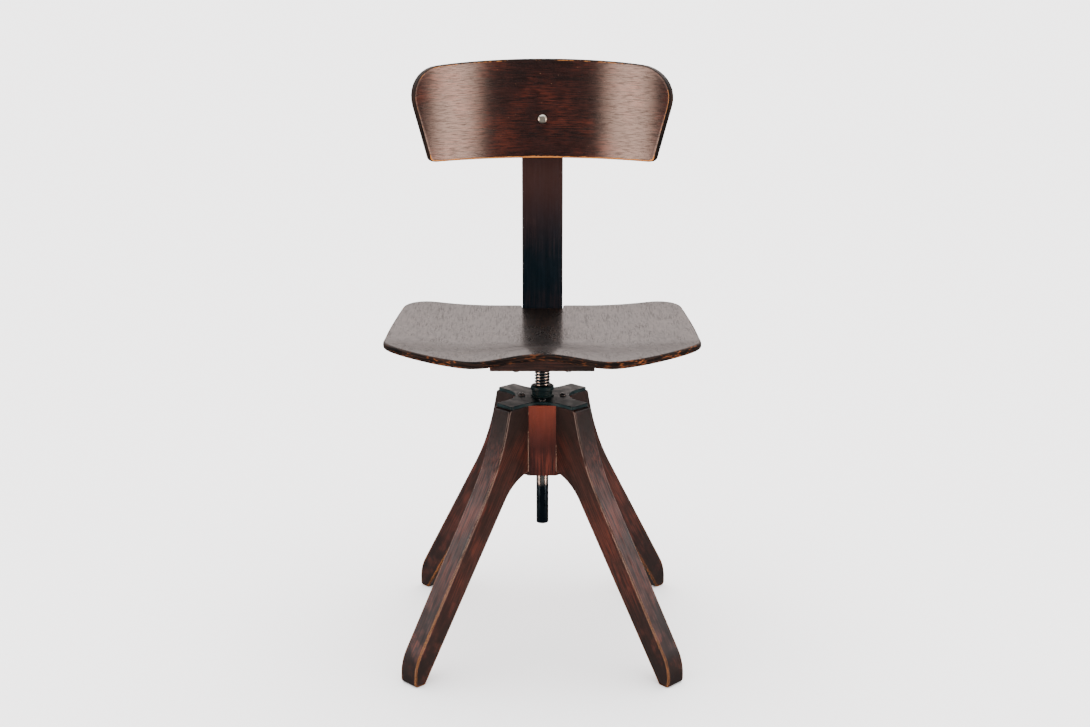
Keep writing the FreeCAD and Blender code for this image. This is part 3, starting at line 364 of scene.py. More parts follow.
def scuff_and_shade(wires, source, level, amount, color, coat, worn, bare):
    """Makes a leg's foot blacker, duller and more worn, and paints shade on its top beside the hub.
    """
    low_down = wires.between(level, FOOT_TOP, FOOT_SOLE)
    # Painted shade on the leg's top, under the iron cross and beside the hub.
    painted_top_shade = wires.times(wires.between(level, PAINTED_SHADE_LOW, PAINTED_SHADE_HIGH), 0.8)
    dirt = wires.between(wires.noise(source, scale=55, detail=5), *DIRT_LIMITS)
    black = wires.times(wires.times(dirt, low_down), amount)
    coat = wires.times(wires.less(wires.times(black, 0.6)), coat)
    # Near-black for the real dirt at the foot and for the painted shade at the top.
    color = wires.blend(wires.maths("MAXIMUM", black, painted_top_shade), color, NEAR_BLACK)
    worn = wires.maths("ADD", wires.times(low_down, 0.45), worn)
    worn = wires.maths("SUBTRACT", worn, wires.times(painted_top_shade, 0.5))
    return color, coat, worn, wires.blend(low_down, bare, BARE_WOOD)


def solid_wood(name, turn, dark=DARK_STAIN, stain=RED_STAIN, bright=BRIGHT_STAIN, patches=0.5,
               gloss=0.36, worn=0.5, reach=0.0022, bare=PALE_RUB, coat=0.18, scuffs_and_top_shade=0.0,
               painted_light_band=None, painted_light_lift=0.5):
    """Stained wood with worn arrises; turn lays the grain along the piece.

    scuffs_and_top_shade is how strong the foot's scuffs are, and it also brings painted shade to
    the leg's top; painted_light_band is (low, high), between which painted light brightens the
    stain by painted_light_lift.
    """
    material, wires = new_material(name)
    source = wires.node("TexCoord").outputs["Object"]
    level = wires.node("SeparateXYZ", {"Vector": source}).outputs["Z"]
    vector = place_on(wires, turn, source)
    wood = use_group(wires, "stained_wood", Vector=vector, Dark=dark, Stain=stain, Bright=bright,
                     Patches=patches, Pores=0.5, Gloss=gloss, Fineness=1.0)
    color = wood["Color"]
    # Painted light: between the band's two heights the stain brightens towards the bright stain.
    if painted_light_band:
        color = wires.blend(wires.times(wires.between(level, *painted_light_band), painted_light_lift), color, bright)
    if scuffs_and_top_shade:
        color, coat, worn, bare = scuff_and_shade(wires, source, level, scuffs_and_top_shade, color, coat, worn, bare)
    wear = use_group(wires, "worn_edges", Vector=vector, Reach=reach, Amount=worn)
    color = wires.blend(wear["Mask"], color, bare)
    roughness = wires.maths("ADD", wood["Roughness"], wires.times(wear["Mask"], 0.3))
    lacquer = wires.times(wires.less(wood["Pore"]), coat)
    lacquered(material, wires, color, roughness, wood["Height"], lacquer)
    return material


def refinish(node, material):
    """Gives a CAD node its finish, and leaves its mesh alone."""
    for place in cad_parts[node].material_slots:
        place.material = material


# %% Hub, block, saddle and dowels
UP = (0, -90, 0)

# Painted light and shade: the hub brightens towards its top and stays dark lower down between the
# legs.
hub_wood = solid_wood("hub_wood", UP, stain=(0.030, 0.006, 0.005, 1),
                      bright=(0.27, 0.040, 0.014, 1), patches=0.3, worn=0.1, painted_light_band=(0.25, 0.345),
                      painted_light_lift=0.46)
refinish("hub_column", hub_wood)
block_wood = solid_wood("block_wood", (0, 0, 0), dark=NEAR_BLACK, stain=(0.022, 0.011, 0.008, 1),
                        patches=0.2, worn=0.35, bare=BARE_WOOD)
refinish("seat_block", block_wood)
refinish("backrest_saddle", block_wood)
dowel_wood = solid_wood("dowel_wood", UP, stain=(0.4, 0.27, 0.16, 1), bright=(0.5, 0.36, 0.2, 1))
refinish("leg_dowels", dowel_wood)
print("solid woods:", hub_wood.name, block_wood.name, dowel_wood.name)

# %% [markdown]
# ## Leg finish
#
# Each leg is sawn from one board, so its grain leans with the leg. The finish is the same for all
# four, but the coordinates turn with each leg, first about the spindle and then by its lean.

# %% Legs
LEG_TURNS = {"leg_front_right": -45, "leg_back_right": 45, "leg_back_left": 135,
             "leg_front_left": 225}
LEG_LEAN = 57.4

for label, turn in LEG_TURNS.items():
    leg_wood = solid_wood(label + "_wood", (0, LEG_LEAN, turn), dark=(0.009, 0.004, 0.0034, 1),
                          stain=(0.034, 0.0105, 0.0075, 1), bright=(0.105, 0.019, 0.0095, 1),
                          patches=0.5, worn=0.8, reach=0.0036, scuffs_and_top_shade=0.95, coat=0.43,
                          bare=(0.24, 0.155, 0.11, 1))
    refinish(label, leg_wood)
print("legs finished:", len(LEG_TURNS))

# %% [markdown]
# ## Metals
#
# The cross and its collar are blackened iron, which is rough and faintly green. The screw is
# bright steel, worn clean by the nut, and the rod below it is dark and oily. The bolt through the
# back is nickelled.

# %% Metal finishes
OIL = (0.010, 0.018, 0.026, 1)
OIL_TOP = 0.212
OIL_FADE = 3 * MM
OIL_STRAYS = 4 * MM
THREAD_LOW, THREAD_HIGH = 0.2765, 0.3723
GROOVE_RADIUS = 9.8 * MM
GROOVE_FADE = 0.7 * MM
METAL_WEAR_REACH = 1.2 * MM
BLOTCH_LIMITS = (0.35, 0.65)
PIT_DEEP = 0.2 * MM
PIT_STRENGTH = 0.12


def oily(wires, vector, blotch, tone):
    """Darkens the rod's lower end and the grooves of the thread with old oil."""
    level = wires.node("SeparateXYZ", {"Vector": vector}).outputs["Z"]
    ragged = wires.maths("ADD", level, wires.times(blotch, OIL_STRAYS))
    low = wires.between(ragged, OIL_TOP + OIL_FADE, OIL_TOP - OIL_FADE)
    around = wires.node("VectorMath", {"Vector": wires.stretch(vector, 1, 1, 0)},
                        operation="LENGTH").outputs["Value"]
    deep = wires.between(around, GROOVE_RADIUS, GROOVE_RADIUS - GROOVE_FADE)
    inside = wires.times(deep, wires.maths("GREATER_THAN", level, THREAD_LOW))
    return wires.blend(inside, wires.blend(low, tone, OIL), OIL)


def metal(name, color, second, roughness, rub, metallic=1.0, specular=0.5, oiled=False):
    """Uneven metal: two tones in soft blotches, fine pits, and edges rubbed bright."""
    material, wires = new_material(name)
    vector = wires.node("TexCoord").outputs["Object"]
    blotch = wires.between(wires.noise(vector, scale=90, detail=5), *BLOTCH_LIMITS)
    pits = wires.noise(vector, scale=900, detail=3)
    wear = use_group(wires, "worn_edges", Vector=vector, Reach=METAL_WEAR_REACH, Amount=0.5)
    tone = wires.blend(blotch, color, second)
    tone = wires.blend(wear["Mask"], tone, rub)
    if oiled:
        tone = oily(wires, vector, blotch, tone)
    shader = material.node_tree.nodes["Principled BSDF"]
    wires.feed(shader.inputs["Base Color"], tone)
    shader.inputs["Metallic"].default_value = metallic
    shader.inputs["Specular IOR Level"].default_value = specular
    uneven = wires.maths("ADD", roughness, wires.times(blotch, 0.12))
    wires.feed(shader.inputs["Roughness"], uneven)
    bump = wires.node("Bump", {"Height": pits, "Strength": PIT_STRENGTH, "Distance": PIT_DEEP})
    wires.feed(shader.inputs["Normal"], bump.outputs["Normal"])
    return material


# %% Iron, steel and nickel
iron = metal("black_iron", (0.002, 0.009, 0.011, 1), (0.005, 0.018, 0.021, 1), 0.4,
             (0.04, 0.07, 0.07, 1), metallic=0.0, specular=0.1)
steel = metal("bright_steel", (0.30, 0.29, 0.275, 1), (0.14, 0.135, 0.13, 1), 0.2,
              (0.8, 0.78, 0.74, 1), oiled=True)
dark_steel = metal("dark_steel", (0.020, 0.026, 0.032, 1), (0.06, 0.06, 0.06, 1), 0.35,
                   (0.3, 0.3, 0.3, 1), metallic=0.8)
nickel = metal("nickel", (0.55, 0.54, 0.47, 1), (0.40, 0.38, 0.33, 1), 0.28, (0.7, 0.69, 0.6, 1))
for node in ("spider_plate", "spindle_nut", "guide_bush", "spindle_flange"):
    refinish(node, iron)
for node in ("collar_screws", "flange_screws", "block_screws", "lap_screws"):
    refinish(node, dark_steel)
for node in ("backrest_bolt", "backrest_washer", "wing_nut"):
    refinish(node, nickel)
print("metals:", iron.name, steel.name, dark_steel.name, nickel.name)

# %% [markdown]
# ## Tools for shaping
#
# In edit mode, tools act on what is selected. With no hand on a mouse, code selects by place:
# every vertex, edge or face whose middle passes a test.

# %% Selecting by place
HAIR = 0.01 * MM


def only(piece):
    """Leaves just this piece selected and active."""
    bpy.ops.object.select_all(action="DESELECT")
    piece.select_set(True)
    bpy.context.view_layer.objects.active = piece


def begin(name):
    """Names the new primitive and opens it for shaping."""
    piece = bpy.context.active_object
    piece.name = name
    piece.data.name = name
    bpy.ops.object.mode_set(mode="EDIT")
    return piece


def close(piece, smooth_to, body, material, stands_for):
    """Smooths edges up to an angle in degrees, then gives the piece its finish and its body."""
    only(piece)
    bpy.ops.object.shade_smooth_by_angle(angle=math.radians(smooth_to))
    piece.data.materials.clear()
    piece.data.materials.append(material)
    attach(piece, body)
    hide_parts(*stands_for)
    print(piece.name, "faces:", len(piece.data.polygons))


def middle(part):
    if isinstance(part, bmesh.types.BMVert):
        return part.co
    return sum((v.co for v in part.verts), Vector()) / len(part.verts)


def choose(piece, kind, test):
    """Selects in edit mode only the parts whose middle passes the test, and counts them."""
    bpy.ops.mesh.select_mode(type=kind)
    bpy.ops.mesh.select_all(action="DESELECT")
    shape = bmesh.from_edit_mesh(piece.data)
    parts = {"VERT": shape.verts, "EDGE": shape.edges, "FACE": shape.faces}[kind]
    chosen = [part for part in parts if test(middle(part))]
    for part in chosen:
        part.select_set(True)
    shape.select_flush_mode()
    bmesh.update_edit_mesh(piece.data)
    return len(chosen)


def near(corner):
    return lambda place: (place - corner).length < 0.5 * MM


def on_line(start, end):
    """A test that is true for a place on the straight line from start to end."""
    def test(place):
        foot, share = intersect_point_line(place, start, end)
        return 0 < share < 1 and (foot - place).length < HAIR
    return test


def apply_modifier(piece, kind, **settings):
    modifier = piece.modifiers.new(kind.lower(), kind)
    for name, value in settings.items():
        setattr(modifier, name, value)
    only(piece)
    bpy.ops.object.modifier_apply(modifier=modifier.name)


# %% [markdown]
# ## Flat blanks
#
# Seat and back were once flat boards of veneer that a press gave their form. They are modelled
# the same way round: first the flat blank with its outline, then its thickness and its rounded
# rim, and only then the press. The flat state also gives every point a place on the veneer, which
# the finish uses later, so the grain bends with the board.

# %% Making a flat blank
MERGE = 0.6 * MM
ARRIS_ANGLE = 60
ARRIS_STEPS = 4


def flat_blank(name, corners, rounds, cuts):
    """A flat blank in the XY plane: corners placed, rounded, and its straight sides divided.

    rounds holds (radius, segments) for each corner, and cuts the divisions of the side
    that starts at each corner.
    """
    bpy.ops.object.select_all(action="DESELECT")
    bpy.ops.mesh.primitive_circle_add(vertices=len(corners), radius=0.1, fill_type="NGON")
    piece = begin(name)
    shape = bmesh.from_edit_mesh(piece.data)
    places = [Vector((x * MM, y * MM, 0)) for x, y in corners]
    for vertex, place in zip(shape.verts, places):
        vertex.co = place
    bmesh.update_edit_mesh(piece.data)
    for i, (radius, segments) in enumerate(rounds):
        before = (places[i - 1] - places[i]).normalized()
        after = (places[(i + 1) % len(places)] - places[i]).normalized()
        choose(piece, "VERT", near(places[i]))
        bpy.ops.mesh.bevel(offset=radius * MM / math.tan(before.angle(after) / 2),
                           segments=segments, affect="VERTICES", clamp_overlap=False)
    for i, count in enumerate(cuts):
        side = on_line(places[i], places[(i + 1) % len(places)])
        if count and choose(piece, "EDGE", side):
            bpy.ops.mesh.subdivide(number_cuts=count)
    bpy.ops.mesh.select_all(action="SELECT")
    bpy.ops.mesh.remove_doubles(threshold=MERGE)
    return piece


# %% Filling the blank with a grid
def fill_blank(piece, rims, start, count):
    """Insets the rim rings, and lays a grid of count columns from the ring's vertex at start."""
    bpy.ops.mesh.select_mode(type="FACE")
    bpy.ops.mesh.select_all(action="SELECT")
    for width in rims:
        bpy.ops.mesh.inset(thickness=width * MM)
    shape = bmesh.from_edit_mesh(piece.data)
    inner = [face for face in shape.faces if face.select][0]
    ring = [middle(edge) for edge in inner.edges]
    bpy.ops.mesh.delete(type="ONLY_FACE")
    choose(piece, "EDGE", lambda place: any((place - spot).length < HAIR for spot in ring))
    shape = bmesh.from_edit_mesh(piece.data)
    first = Vector((start[0] * MM, start[1] * MM, 0))
    corner = min((v for v in shape.verts if v.select), key=lambda v: (v.co - first).length)
    shape.select_history.clear()
    shape.select_history.add(corner)
    bmesh.update_edit_mesh(piece.data)
    bpy.ops.mesh.fill_grid(span=count, offset=0, use_interp_simple=True)
    shape = bmesh.from_edit_mesh(piece.data)
    longest = max(edge.calc_length() for edge in shape.edges)
    print(piece.name, "blank faces:", len(shape.faces), "longest edge mm:", round(longest / MM, 1))


# %% Thickness and press
def thicken(piece, thickness, rim, keep_square=None):
    """Gives the blank its thickness from z = 0 upwards and rounds the long edges of its rim.

    keep_square tests the middle of an edge, and is true for the edges that stay square.
    """
    bpy.ops.object.mode_set(mode="OBJECT")
    apply_modifier(piece, "SOLIDIFY", thickness=thickness * MM, offset=1)
    low = min(v.co.z for v in piece.data.vertices)
    bpy.ops.object.mode_set(mode="EDIT")
    bpy.ops.mesh.select_all(action="SELECT")
    bpy.ops.transform.translate(value=(0, 0, -low))
    bpy.ops.mesh.normals_make_consistent(inside=False)
    bpy.ops.mesh.select_mode(type="EDGE")
    bpy.ops.mesh.select_all(action="DESELECT")
    bpy.ops.mesh.edges_select_sharp(sharpness=math.radians(ARRIS_ANGLE))
    if keep_square:
        shape = bmesh.from_edit_mesh(piece.data)
        for edge in shape.edges:
            if edge.select and keep_square(middle(edge)):
                edge.select_set(False)
        bmesh.update_edit_mesh(piece.data)
    bpy.ops.mesh.bevel(offset=rim * MM, segments=ARRIS_STEPS, affect="EDGES")
    bpy.ops.object.mode_set(mode="OBJECT")


def press(piece, form):
    """Moves every vertex of the flat blank to its place on the pressed board."""
    for vertex in piece.data.vertices:
        vertex.co = form(vertex.co)
    piece.data.update()


# %% Places on the veneer
EDGE_PARTS = 8


def outline_of(piece):
    """A search tree of points along the rim of the flat blank."""
    shape = bmesh.from_edit_mesh(piece.data)
    points = []
    for edge in shape.edges:
        if edge.is_boundary:
            start, end = (v.co for v in edge.verts)
            points += [start.lerp(end, part / EDGE_PARTS) for part in range(EDGE_PARTS)]
    tree = KDTree(len(points))
    for i, point in enumerate(points):
        tree.insert((point.x, point.y, 0), i)
    tree.balance()
    return tree


def mark_veneer(piece, unpress, tree):
    """Stores each point's place on the flat veneer, and its distance from the outline."""
    piece.data.attributes.new("veneer", "FLOAT_VECTOR", "POINT")
    piece.data.attributes.new("rim", "FLOAT", "POINT")
    flat = piece.data.attributes["veneer"]
    rim = piece.data.attributes["rim"]
    for i, vertex in enumerate(piece.data.vertices):
        place = unpress(vertex.co)
        flat.data[i].vector = place
        rim.data[i].value = tree.find((place.x, place.y, 0))[2] / MM
    furthest = max(entry.value for entry in rim.data)
    print(piece.name, "furthest from its rim, mm:", round(furthest, 1))


# %% [markdown]
# ## Plywood finish
#
# The two boards share one finish with their own stains. It reads the stored place on the flat
# veneer, so its fibres follow the press. Lacquer and stain rubbed off along the rounded rim and
# left a tan line there, broken by chips, while the sawn edge itself stayed black.

# %% Plywood
EDGE_BLACK = (0.003, 0.0025, 0.0025, 1)
EDGE_BROWN = (0.014, 0.008, 0.006, 1)
PLY_LIMITS = (0.45, 0.6)
SPECK_TAN = (0.4, 0.22, 0.12, 1)
SPECK_LIMITS = (0.86, 0.88)
HEM_LIMITS = (12 * MM, 3 * MM)
LOW_ARRIS = (3.4 * MM, 2.2 * MM)
CORNER_LIMITS = (0.05, 0.16)


def wander(wires, drift, crumb):
    """How far, in mm, the rubbed line strays from its place along the rim."""
    return wires.shares(wires.maths("SUBTRACT", drift, 0.5), 3.0,
                        wires.maths("SUBTRACT", crumb, 0.5), 2.0)


def sawn_edge(wires, veneer, drift, rub, chipped, low_line):
    """The black sawn edge, with its plies, its chips and what is rubbed of its lower arris."""
    plies = wires.noise(wires.stretch(veneer, 30, 30, 900), detail=1)
    tone = wires.blend(wires.between(plies, *PLY_LIMITS), EDGE_BLACK, EDGE_BROWN)
    chip = wires.noise(wires.stretch(veneer, 150, 150, 700), detail=4)
    chips = wires.between(wires.shares(drift, 0.5, chip, 0.5),
                          0.66 - 0.15 * chipped, 0.74 - 0.15 * chipped)
    if low_line:
        place = wires.node("SeparateXYZ", {"Vector": veneer}).outputs
        rubbed = wires.between(chip, 0.60 - 0.2 * low_line, 0.70 - 0.2 * low_line)
        low = wires.times(wires.between(place["Z"], *LOW_ARRIS), rubbed)
        by_corner = wires.between(wires.maths("ABSOLUTE", place["X"]), *CORNER_LIMITS)
        by_corner = wires.maths("ADD", wires.times(by_corner, 0.7), 0.3)
        chips = wires.times(wires.maths("MAXIMUM", chips, low), by_corner)
    return wires.blend(chips, tone, rub)


def plywood(name, turn, dark, stain, bright, patches, pores, gloss, rub, rim_at, rim_wide,
            worn, chipped, coat, fineness, specular, open_pores, low_line=0.0, hem=0.0):
    """Lacquered veneer; rim_at and rim_wide place the rubbed line, chipped bares the edge.

    open_pores is how far the pores break the lacquer, and low_line how much of the lower arris
    is rubbed. hem adds to the wear along the board's near edge, where its veneer starts.
    """
    material, wires = new_material(name)
    veneer = wires.node("Attribute", attribute_name="veneer").outputs["Vector"]
    rim = wires.node("Attribute", attribute_name="rim").outputs["Fac"]
    vector = place_on(wires, turn, veneer)
    wood = use_group(wires, "stained_wood", Vector=vector, Dark=dark, Stain=stain, Bright=bright,
                     Patches=patches, Pores=pores, Gloss=gloss, Fineness=fineness)
    drift = wires.noise(veneer, scale=34, detail=5, rough=0.65)
    crumb = wires.noise(veneer, scale=260, detail=4, rough=0.6)
    flecks = wires.shares(drift, 0.6, crumb, 0.4)
    inward = rim
    if hem:
        up_board = wires.node("SeparateXYZ", {"Vector": veneer}).outputs["Y"]
        at_hem = wires.between(up_board, *HEM_LIMITS)
        inward = wires.maths("ADD", rim, at_hem)
        flecks = wires.maths("ADD", flecks, wires.times(at_hem, 0.3 * hem))
    line_end = rim_at + rim_wide
    strayed = wires.maths("ADD", rim, wander(wires, drift, crumb))
    near_line = wires.less(wires.between(strayed, line_end, line_end + 0.5))
    off_edge = wires.between(inward, rim_at - 0.4, rim_at)
    broken = wires.between(flecks, 0.62 - 0.3 * worn, 0.70 - 0.3 * worn)
    bare = wires.times(wires.times(near_line, off_edge), broken)
    edge_tone = sawn_edge(wires, veneer, drift, rub, chipped, low_line)
    color = wires.blend(off_edge, edge_tone, wood["Color"])
    color = wires.blend(bare, color, rub)
    speck = wires.between(wires.noise(veneer, scale=520, detail=0), *SPECK_LIMITS)
    color = wires.blend(wires.times(speck, 0.3), color, SPECK_TAN)
    roughness = wires.maths("ADD", wood["Roughness"], wires.times(bare, 0.25))
    height = wires.maths("SUBTRACT", wood["Height"], wires.times(bare, 0.8))
    closed = wires.less(wires.times(wood["Pore"], open_pores))
    kept = wires.times(off_edge, wires.less(bare))
    lacquer = wires.times(wires.times(closed, kept), coat)
    lacquered(material, wires, color, roughness, height, lacquer, specular)
    return material


# %% [markdown]
# ## The back
#
# The back is a strip of plywood bent round an upright axis, wider at the top than at the bottom,
# with an arched top edge and large upper corners. A box could be bent by a modifier, but rolling
# the flat blank up by its own arc length keeps the sheet's true size and its square edges. The
# guide corners below are where its straight lines and the long arch's tangents would meet.

# %% Back blank
BACK_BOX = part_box("backrest_shell")
BACK_RADIUS = 235 * MM
BACK_THICK = 8
BACK_ARRIS = 1.2
BACK_RINGS = (4.5, 5)
BACK_COLUMNS = 38
BACK_AXIS = BACK_BOX[1][1] - BACK_RADIUS
BACK_BOTTOM = BACK_BOX[0][2]
BACK_CORNERS = [(-151.5, 0), (151.5, 0), (180.7, 120.85), (0, 140.1), (-180.7, 120.85)]
BACK_ROUNDS = [(8, 4), (8, 4), (42, 10), (1326, 28), (42, 10)]
BACK_CUTS = [35, 8, 0, 0, 8]


def unrolled(place):
    """From the front view of the bent board to its flat blank."""
    return Vector((BACK_RADIUS * math.asin(place.x / BACK_RADIUS), place.y, 0))


def roll(place):
    """From the flat blank to the bent board."""
    angle, reach = place.x / BACK_RADIUS, BACK_RADIUS - place.z
    return Vector((reach * math.sin(angle), BACK_AXIS + reach * math.cos(angle),
                   BACK_BOTTOM + place.y))


def unroll(place):
    """From the bent board back to the flat blank."""
    across, out_of = place.x, place.y - BACK_AXIS
    return Vector((BACK_RADIUS * math.atan2(across, out_of), place.z - BACK_BOTTOM,
                   BACK_RADIUS - math.hypot(across, out_of)))


back = flat_blank("bent_back", BACK_CORNERS, BACK_ROUNDS, BACK_CUTS)
shape = bmesh.from_edit_mesh(back.data)
for vertex in shape.verts:
    vertex.co = unrolled(vertex.co)
bmesh.update_edit_mesh(back.data)
back_outline = outline_of(back)
fill_blank(back, BACK_RINGS, (-168.9, 102.4), BACK_COLUMNS)
thicken(back, BACK_THICK, BACK_ARRIS)
press(back, roll)

# %% Bolt hole
BOLT_LEVEL = BACK_BOTTOM + 52 * MM
BOLT_HOLE = 4.05 * MM
HEAD_HOLE = 6.55 * MM
BACK_OUTER = BACK_AXIS + BACK_RADIUS
HEAD_SEAT = BACK_OUTER - 7.4 * MM
IN_FRONT = BACK_OUTER - 50 * MM


def bore(piece, radius, start, end):
    """Cuts a round hole along Y, from start to end, at the level of the bolt."""
    bpy.ops.object.select_all(action="DESELECT")
    bpy.ops.mesh.primitive_cylinder_add(vertices=48, radius=radius, depth=end - start,
                                        location=(0, (start + end) / 2, BOLT_LEVEL),
                                        rotation=(math.radians(90), 0, 0))
    drill = bpy.context.active_object
    apply_modifier(piece, "BOOLEAN", operation="DIFFERENCE", solver="EXACT", object=drill)
    bpy.data.objects.remove(drill)


bore(back, BOLT_HOLE, IN_FRONT, BACK_OUTER + 20 * MM)
bore(back, HEAD_HOLE, IN_FRONT, HEAD_SEAT)
mark_veneer(back, unroll, back_outline)
back_ply = plywood("back_ply", (0, 0, 0), dark=(0.005, 0.0014, 0.001, 1),
                   stain=(0.019, 0.0034, 0.0018, 1), bright=(0.072, 0.0105, 0.003, 1), patches=0.75,
                   pores=0.7, gloss=0.42, rub=(0.34, 0.13, 0.034, 1), rim_at=1.5, rim_wide=0.5,
                   worn=0.45, chipped=0.25, coat=0.72, fineness=2.1, specular=0.06, open_pores=0.6,
                   hem=0.6)
close(back, 40, "backrest", back_ply, ["backrest_shell"])

# %% [markdown]
# ## The seat
#
# The seat has long bowed sides, round front corners and a notch for the upright. Its middle is
# hollow, the sides and the rear rise a little, and the front rolls up with a dip for each thigh.
# The press is one formula for the height over any point, applied to the finished flat board. It
# could be sculpted by eye, but a formula keeps left and right alike and can be turned back.

# %% Seat blank
SEAT_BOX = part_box("seat_shell")
SEAT_THICK = 9
SEAT_ARRIS = 3.2
SEAT_RINGS = (5, 5)
SEAT_COLUMNS = 40
SEAT_UNDER = SEAT_BOX[0][2]
SEAT_CORNERS = [(-190.75, -200), (190.75, -200), (205.1, 43.2), (187.2, 184), (-187.2, 184),
                (-205.1, 43.2)]
SEAT_ROUNDS = [(150, 24), (150, 24), (1096, 22), (45, 8), (45, 8), (1096, 22)]
SEAT_CUTS = [11, 0, 0, 35, 0, 0]
NOTCH_SIDE = 28.5 * MM
NOTCH_FRONT = 167.5 * MM


HOLLOW_HALF = 60
FRONT_RISE, HALF_DEPTH = 30.5, 200
THIGH_DIP, THIGH_OUT = 11.5, 95
REAR_RISE, REAR_REACH = 6.4, 124
SIDE_RISE, SIDE_END_RISE, SIDE_REACH = 9, 5, 141.5


def seat_height(x, y):
    """Height of the pressed board above its flat blank; everything in mm."""
    forward = min(max(-y / HALF_DEPTH, 0), 1)
    roll_up = forward * forward * (3 - 2 * forward)
    thigh = THIGH_DIP * (1 - math.cos(math.pi * min(abs(x) / THIGH_OUT, 1))) / 2
    rear = max(y - HOLLOW_HALF, 0) / REAR_REACH
    outward = max(abs(x) - HOLLOW_HALF, 0) / SIDE_REACH
    side = (SIDE_RISE + SIDE_END_RISE * (y / HALF_DEPTH) ** 2) * outward ** 2
    return (FRONT_RISE - thigh) * roll_up + REAR_RISE * rear ** 2 + side


def in_notch(place):
    slack = 0.1 * MM
    return abs(place.x) < NOTCH_SIDE + slack and place.y > NOTCH_FRONT - slack


def round_notch(place):
    return place.y > 140 * MM and abs(place.x) < 50 * MM


seat = flat_blank("pressed_seat", SEAT_CORNERS, SEAT_ROUNDS, SEAT_CUTS)
seat_outline = outline_of(seat)
fill_blank(seat, SEAT_RINGS, (-158, -139), SEAT_COLUMNS)
bpy.ops.mesh.select_mode(type="FACE")
bpy.ops.mesh.select_all(action="SELECT")
bpy.ops.mesh.subdivide(number_cuts=1)
for place, normal in (((NOTCH_SIDE, 0, 0), (1, 0, 0)), ((-NOTCH_SIDE, 0, 0), (1, 0, 0)),
                      ((0, NOTCH_FRONT, 0), (0, 1, 0))):
    choose(seat, "FACE", round_notch)
    bpy.ops.mesh.bisect(plane_co=place, plane_no=normal)
choose(seat, "FACE", in_notch)
bpy.ops.mesh.delete(type="FACE")
thicken(seat, SEAT_THICK, SEAT_ARRIS, keep_square=in_notch)


def press_seat(place):
    rise = seat_height(place.x / MM, place.y / MM) * MM
    return Vector((place.x, place.y, SEAT_UNDER + place.z + rise))


def unpress_seat(place):
    rise = seat_height(place.x / MM, place.y / MM) * MM
    return Vector((place.x, place.y, place.z - SEAT_UNDER - rise))


press(seat, press_seat)
mark_veneer(seat, unpress_seat, seat_outline)
seat_ply = plywood("seat_ply", (0, 0, 90), dark=(0.0015, 0.001, 0.001, 1),
                   stain=(0.005, 0.003, 0.0022, 1), bright=(0.014, 0.006, 0.0035, 1), patches=0.4,
                   pores=1.0, gloss=0.42, rub=(0.17, 0.050, 0.014, 1), rim_at=2.2, rim_wide=0.3,
                   worn=0.3, chipped=0.8, coat=0.42, fineness=1.5, specular=0.02, open_pores=0.5,
                   low_line=0.3)
close(seat, 40, "seat", seat_ply, ["seat_shell"])

# %% [markdown]
# ## The upright
#
# The upright is a plywood strip, almost black, with a little red showing through. Its blue-black
# lower part is a painted reflection of the dark seat, and its redder upper part is painted light.
# Its shape is already right in the mechanical model, so it only gets its finish.

# %% Upright finish
# Painted reflection: blue-black low down, where the dark seat mirrors in it, and redder higher up
# by painted light.
upright_ply = solid_wood("upright_ply", UP, dark=(0.0008, 0.0035, 0.006, 1),
                         stain=(0.003, 0.007, 0.011, 1), bright=(0.055, 0.018, 0.011, 1),
                         patches=0.15, worn=0.35, gloss=0.3, coat=0.1, painted_light_band=(0.48, 0.60), painted_light_lift=0.42)
refinish("upright", upright_ply)

# %% [markdown]
# ## The screw
#
# The seat rises on a steel screw. The mechanical model has a ring for every turn of its thread,
# which is enough for contact, but a real thread is one helix. Its profile is drawn for a single
# pitch and swept up with the Screw modifier, and two cuts square to the axis close both ends. The
# plain rod below and the spigot above are cylinders that reach a little into the thread.

# %% Spindle
ROD_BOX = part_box("spindle")
PITCH = 4 * MM
TURNS = math.ceil((THREAD_HIGH - THREAD_LOW) / PITCH) + 2
PROFILE = [(8.2, 0), (8.2, 0.55), (9.55, 1.25), (9.9, 1.5), (10, 1.75), (10, 2.45), (9.9, 2.7),
           (9.55, 2.95), (8.2, 3.65), (8.2, 4)]
STEPS = 40

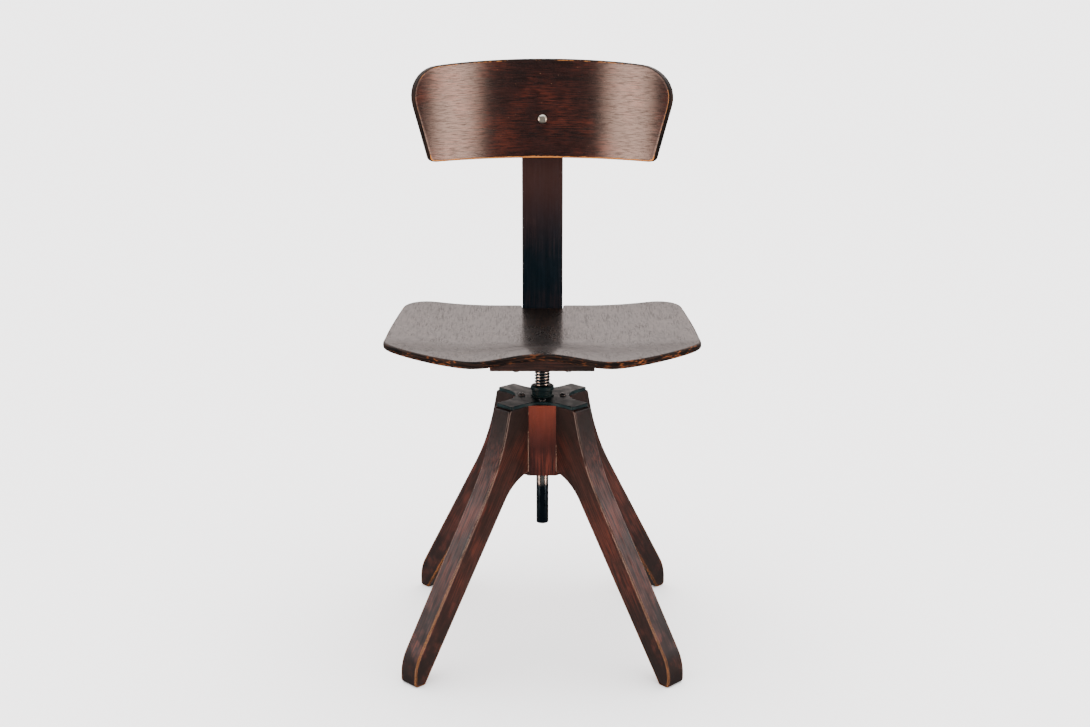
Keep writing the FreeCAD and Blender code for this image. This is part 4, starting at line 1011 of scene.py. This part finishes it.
bpy.ops.object.select_all(action="DESELECT")
bpy.ops.mesh.primitive_circle_add(vertices=3, radius=0.01, fill_type="NOTHING")
screw = begin("threaded_spindle")
shape = bmesh.from_edit_mesh(screw.data)
bmesh.ops.delete(shape, geom=list(shape.verts), context="VERTS")
points = [shape.verts.new((r * MM, 0, THREAD_LOW - PITCH + z * MM)) for r, z in PROFILE]
for start, end in zip(points, points[1:]):
    shape.edges.new((start, end))
bmesh.update_edit_mesh(screw.data)
bpy.ops.object.mode_set(mode="OBJECT")
apply_modifier(screw, "SCREW", axis="Z", screw_offset=PITCH, iterations=TURNS, steps=STEPS,
               render_steps=STEPS)
bpy.ops.object.mode_set(mode="EDIT")
bpy.ops.mesh.select_all(action="SELECT")
bpy.ops.mesh.remove_doubles(threshold=HAIR)
for level, side in ((THREAD_LOW, {"clear_inner": True}), (THREAD_HIGH, {"clear_outer": True})):
    bpy.ops.mesh.select_all(action="SELECT")
    bpy.ops.mesh.bisect(plane_co=(0, 0, level), plane_no=(0, 0, 1), use_fill=True, **side)
bpy.ops.object.mode_set(mode="OBJECT")
print("thread box:", [tuple(round(c, 4) for c in corner) for corner in screw.bound_box][::6])


# %% Rod and spigot
ROD_RADIUS, ROD_CHAMFER = 8 * MM, 1 * MM
SPIGOT_RADIUS, SPIGOT_CHAMFER = 7 * MM, 0.4 * MM
INTO_THREAD = 1 * MM


def turned_rod(name, radius, low, high, chamfer):
    bpy.ops.object.select_all(action="DESELECT")
    bpy.ops.mesh.primitive_cylinder_add(vertices=64, radius=radius, depth=high - low,
                                        location=(0, 0, (low + high) / 2))
    rod = bpy.context.active_object
    rod.name = name
    bpy.ops.object.transform_apply(location=True)
    bpy.ops.object.mode_set(mode="EDIT")
    choose(rod, "EDGE", lambda place: min(abs(place.z - low), abs(place.z - high)) < HAIR)
    bpy.ops.mesh.bevel(offset=chamfer, segments=2, affect="EDGES")
    bpy.ops.object.mode_set(mode="OBJECT")
    return rod


pilot = turned_rod("pilot", ROD_RADIUS, ROD_BOX[0][2], THREAD_LOW + INTO_THREAD, ROD_CHAMFER)
spigot = turned_rod("spigot", SPIGOT_RADIUS, THREAD_HIGH - INTO_THREAD, ROD_BOX[1][2],
                    SPIGOT_CHAMFER)
bpy.ops.object.select_all(action="DESELECT")
for part in (pilot, spigot, screw):
    part.select_set(True)
bpy.context.view_layer.objects.active = screw
bpy.ops.object.join()
bpy.ops.object.mode_set(mode="EDIT")
bpy.ops.mesh.select_all(action="SELECT")
bpy.ops.mesh.normals_make_consistent(inside=False)
bpy.ops.object.mode_set(mode="OBJECT")
close(screw, 30, "screw", steel, ["spindle"])
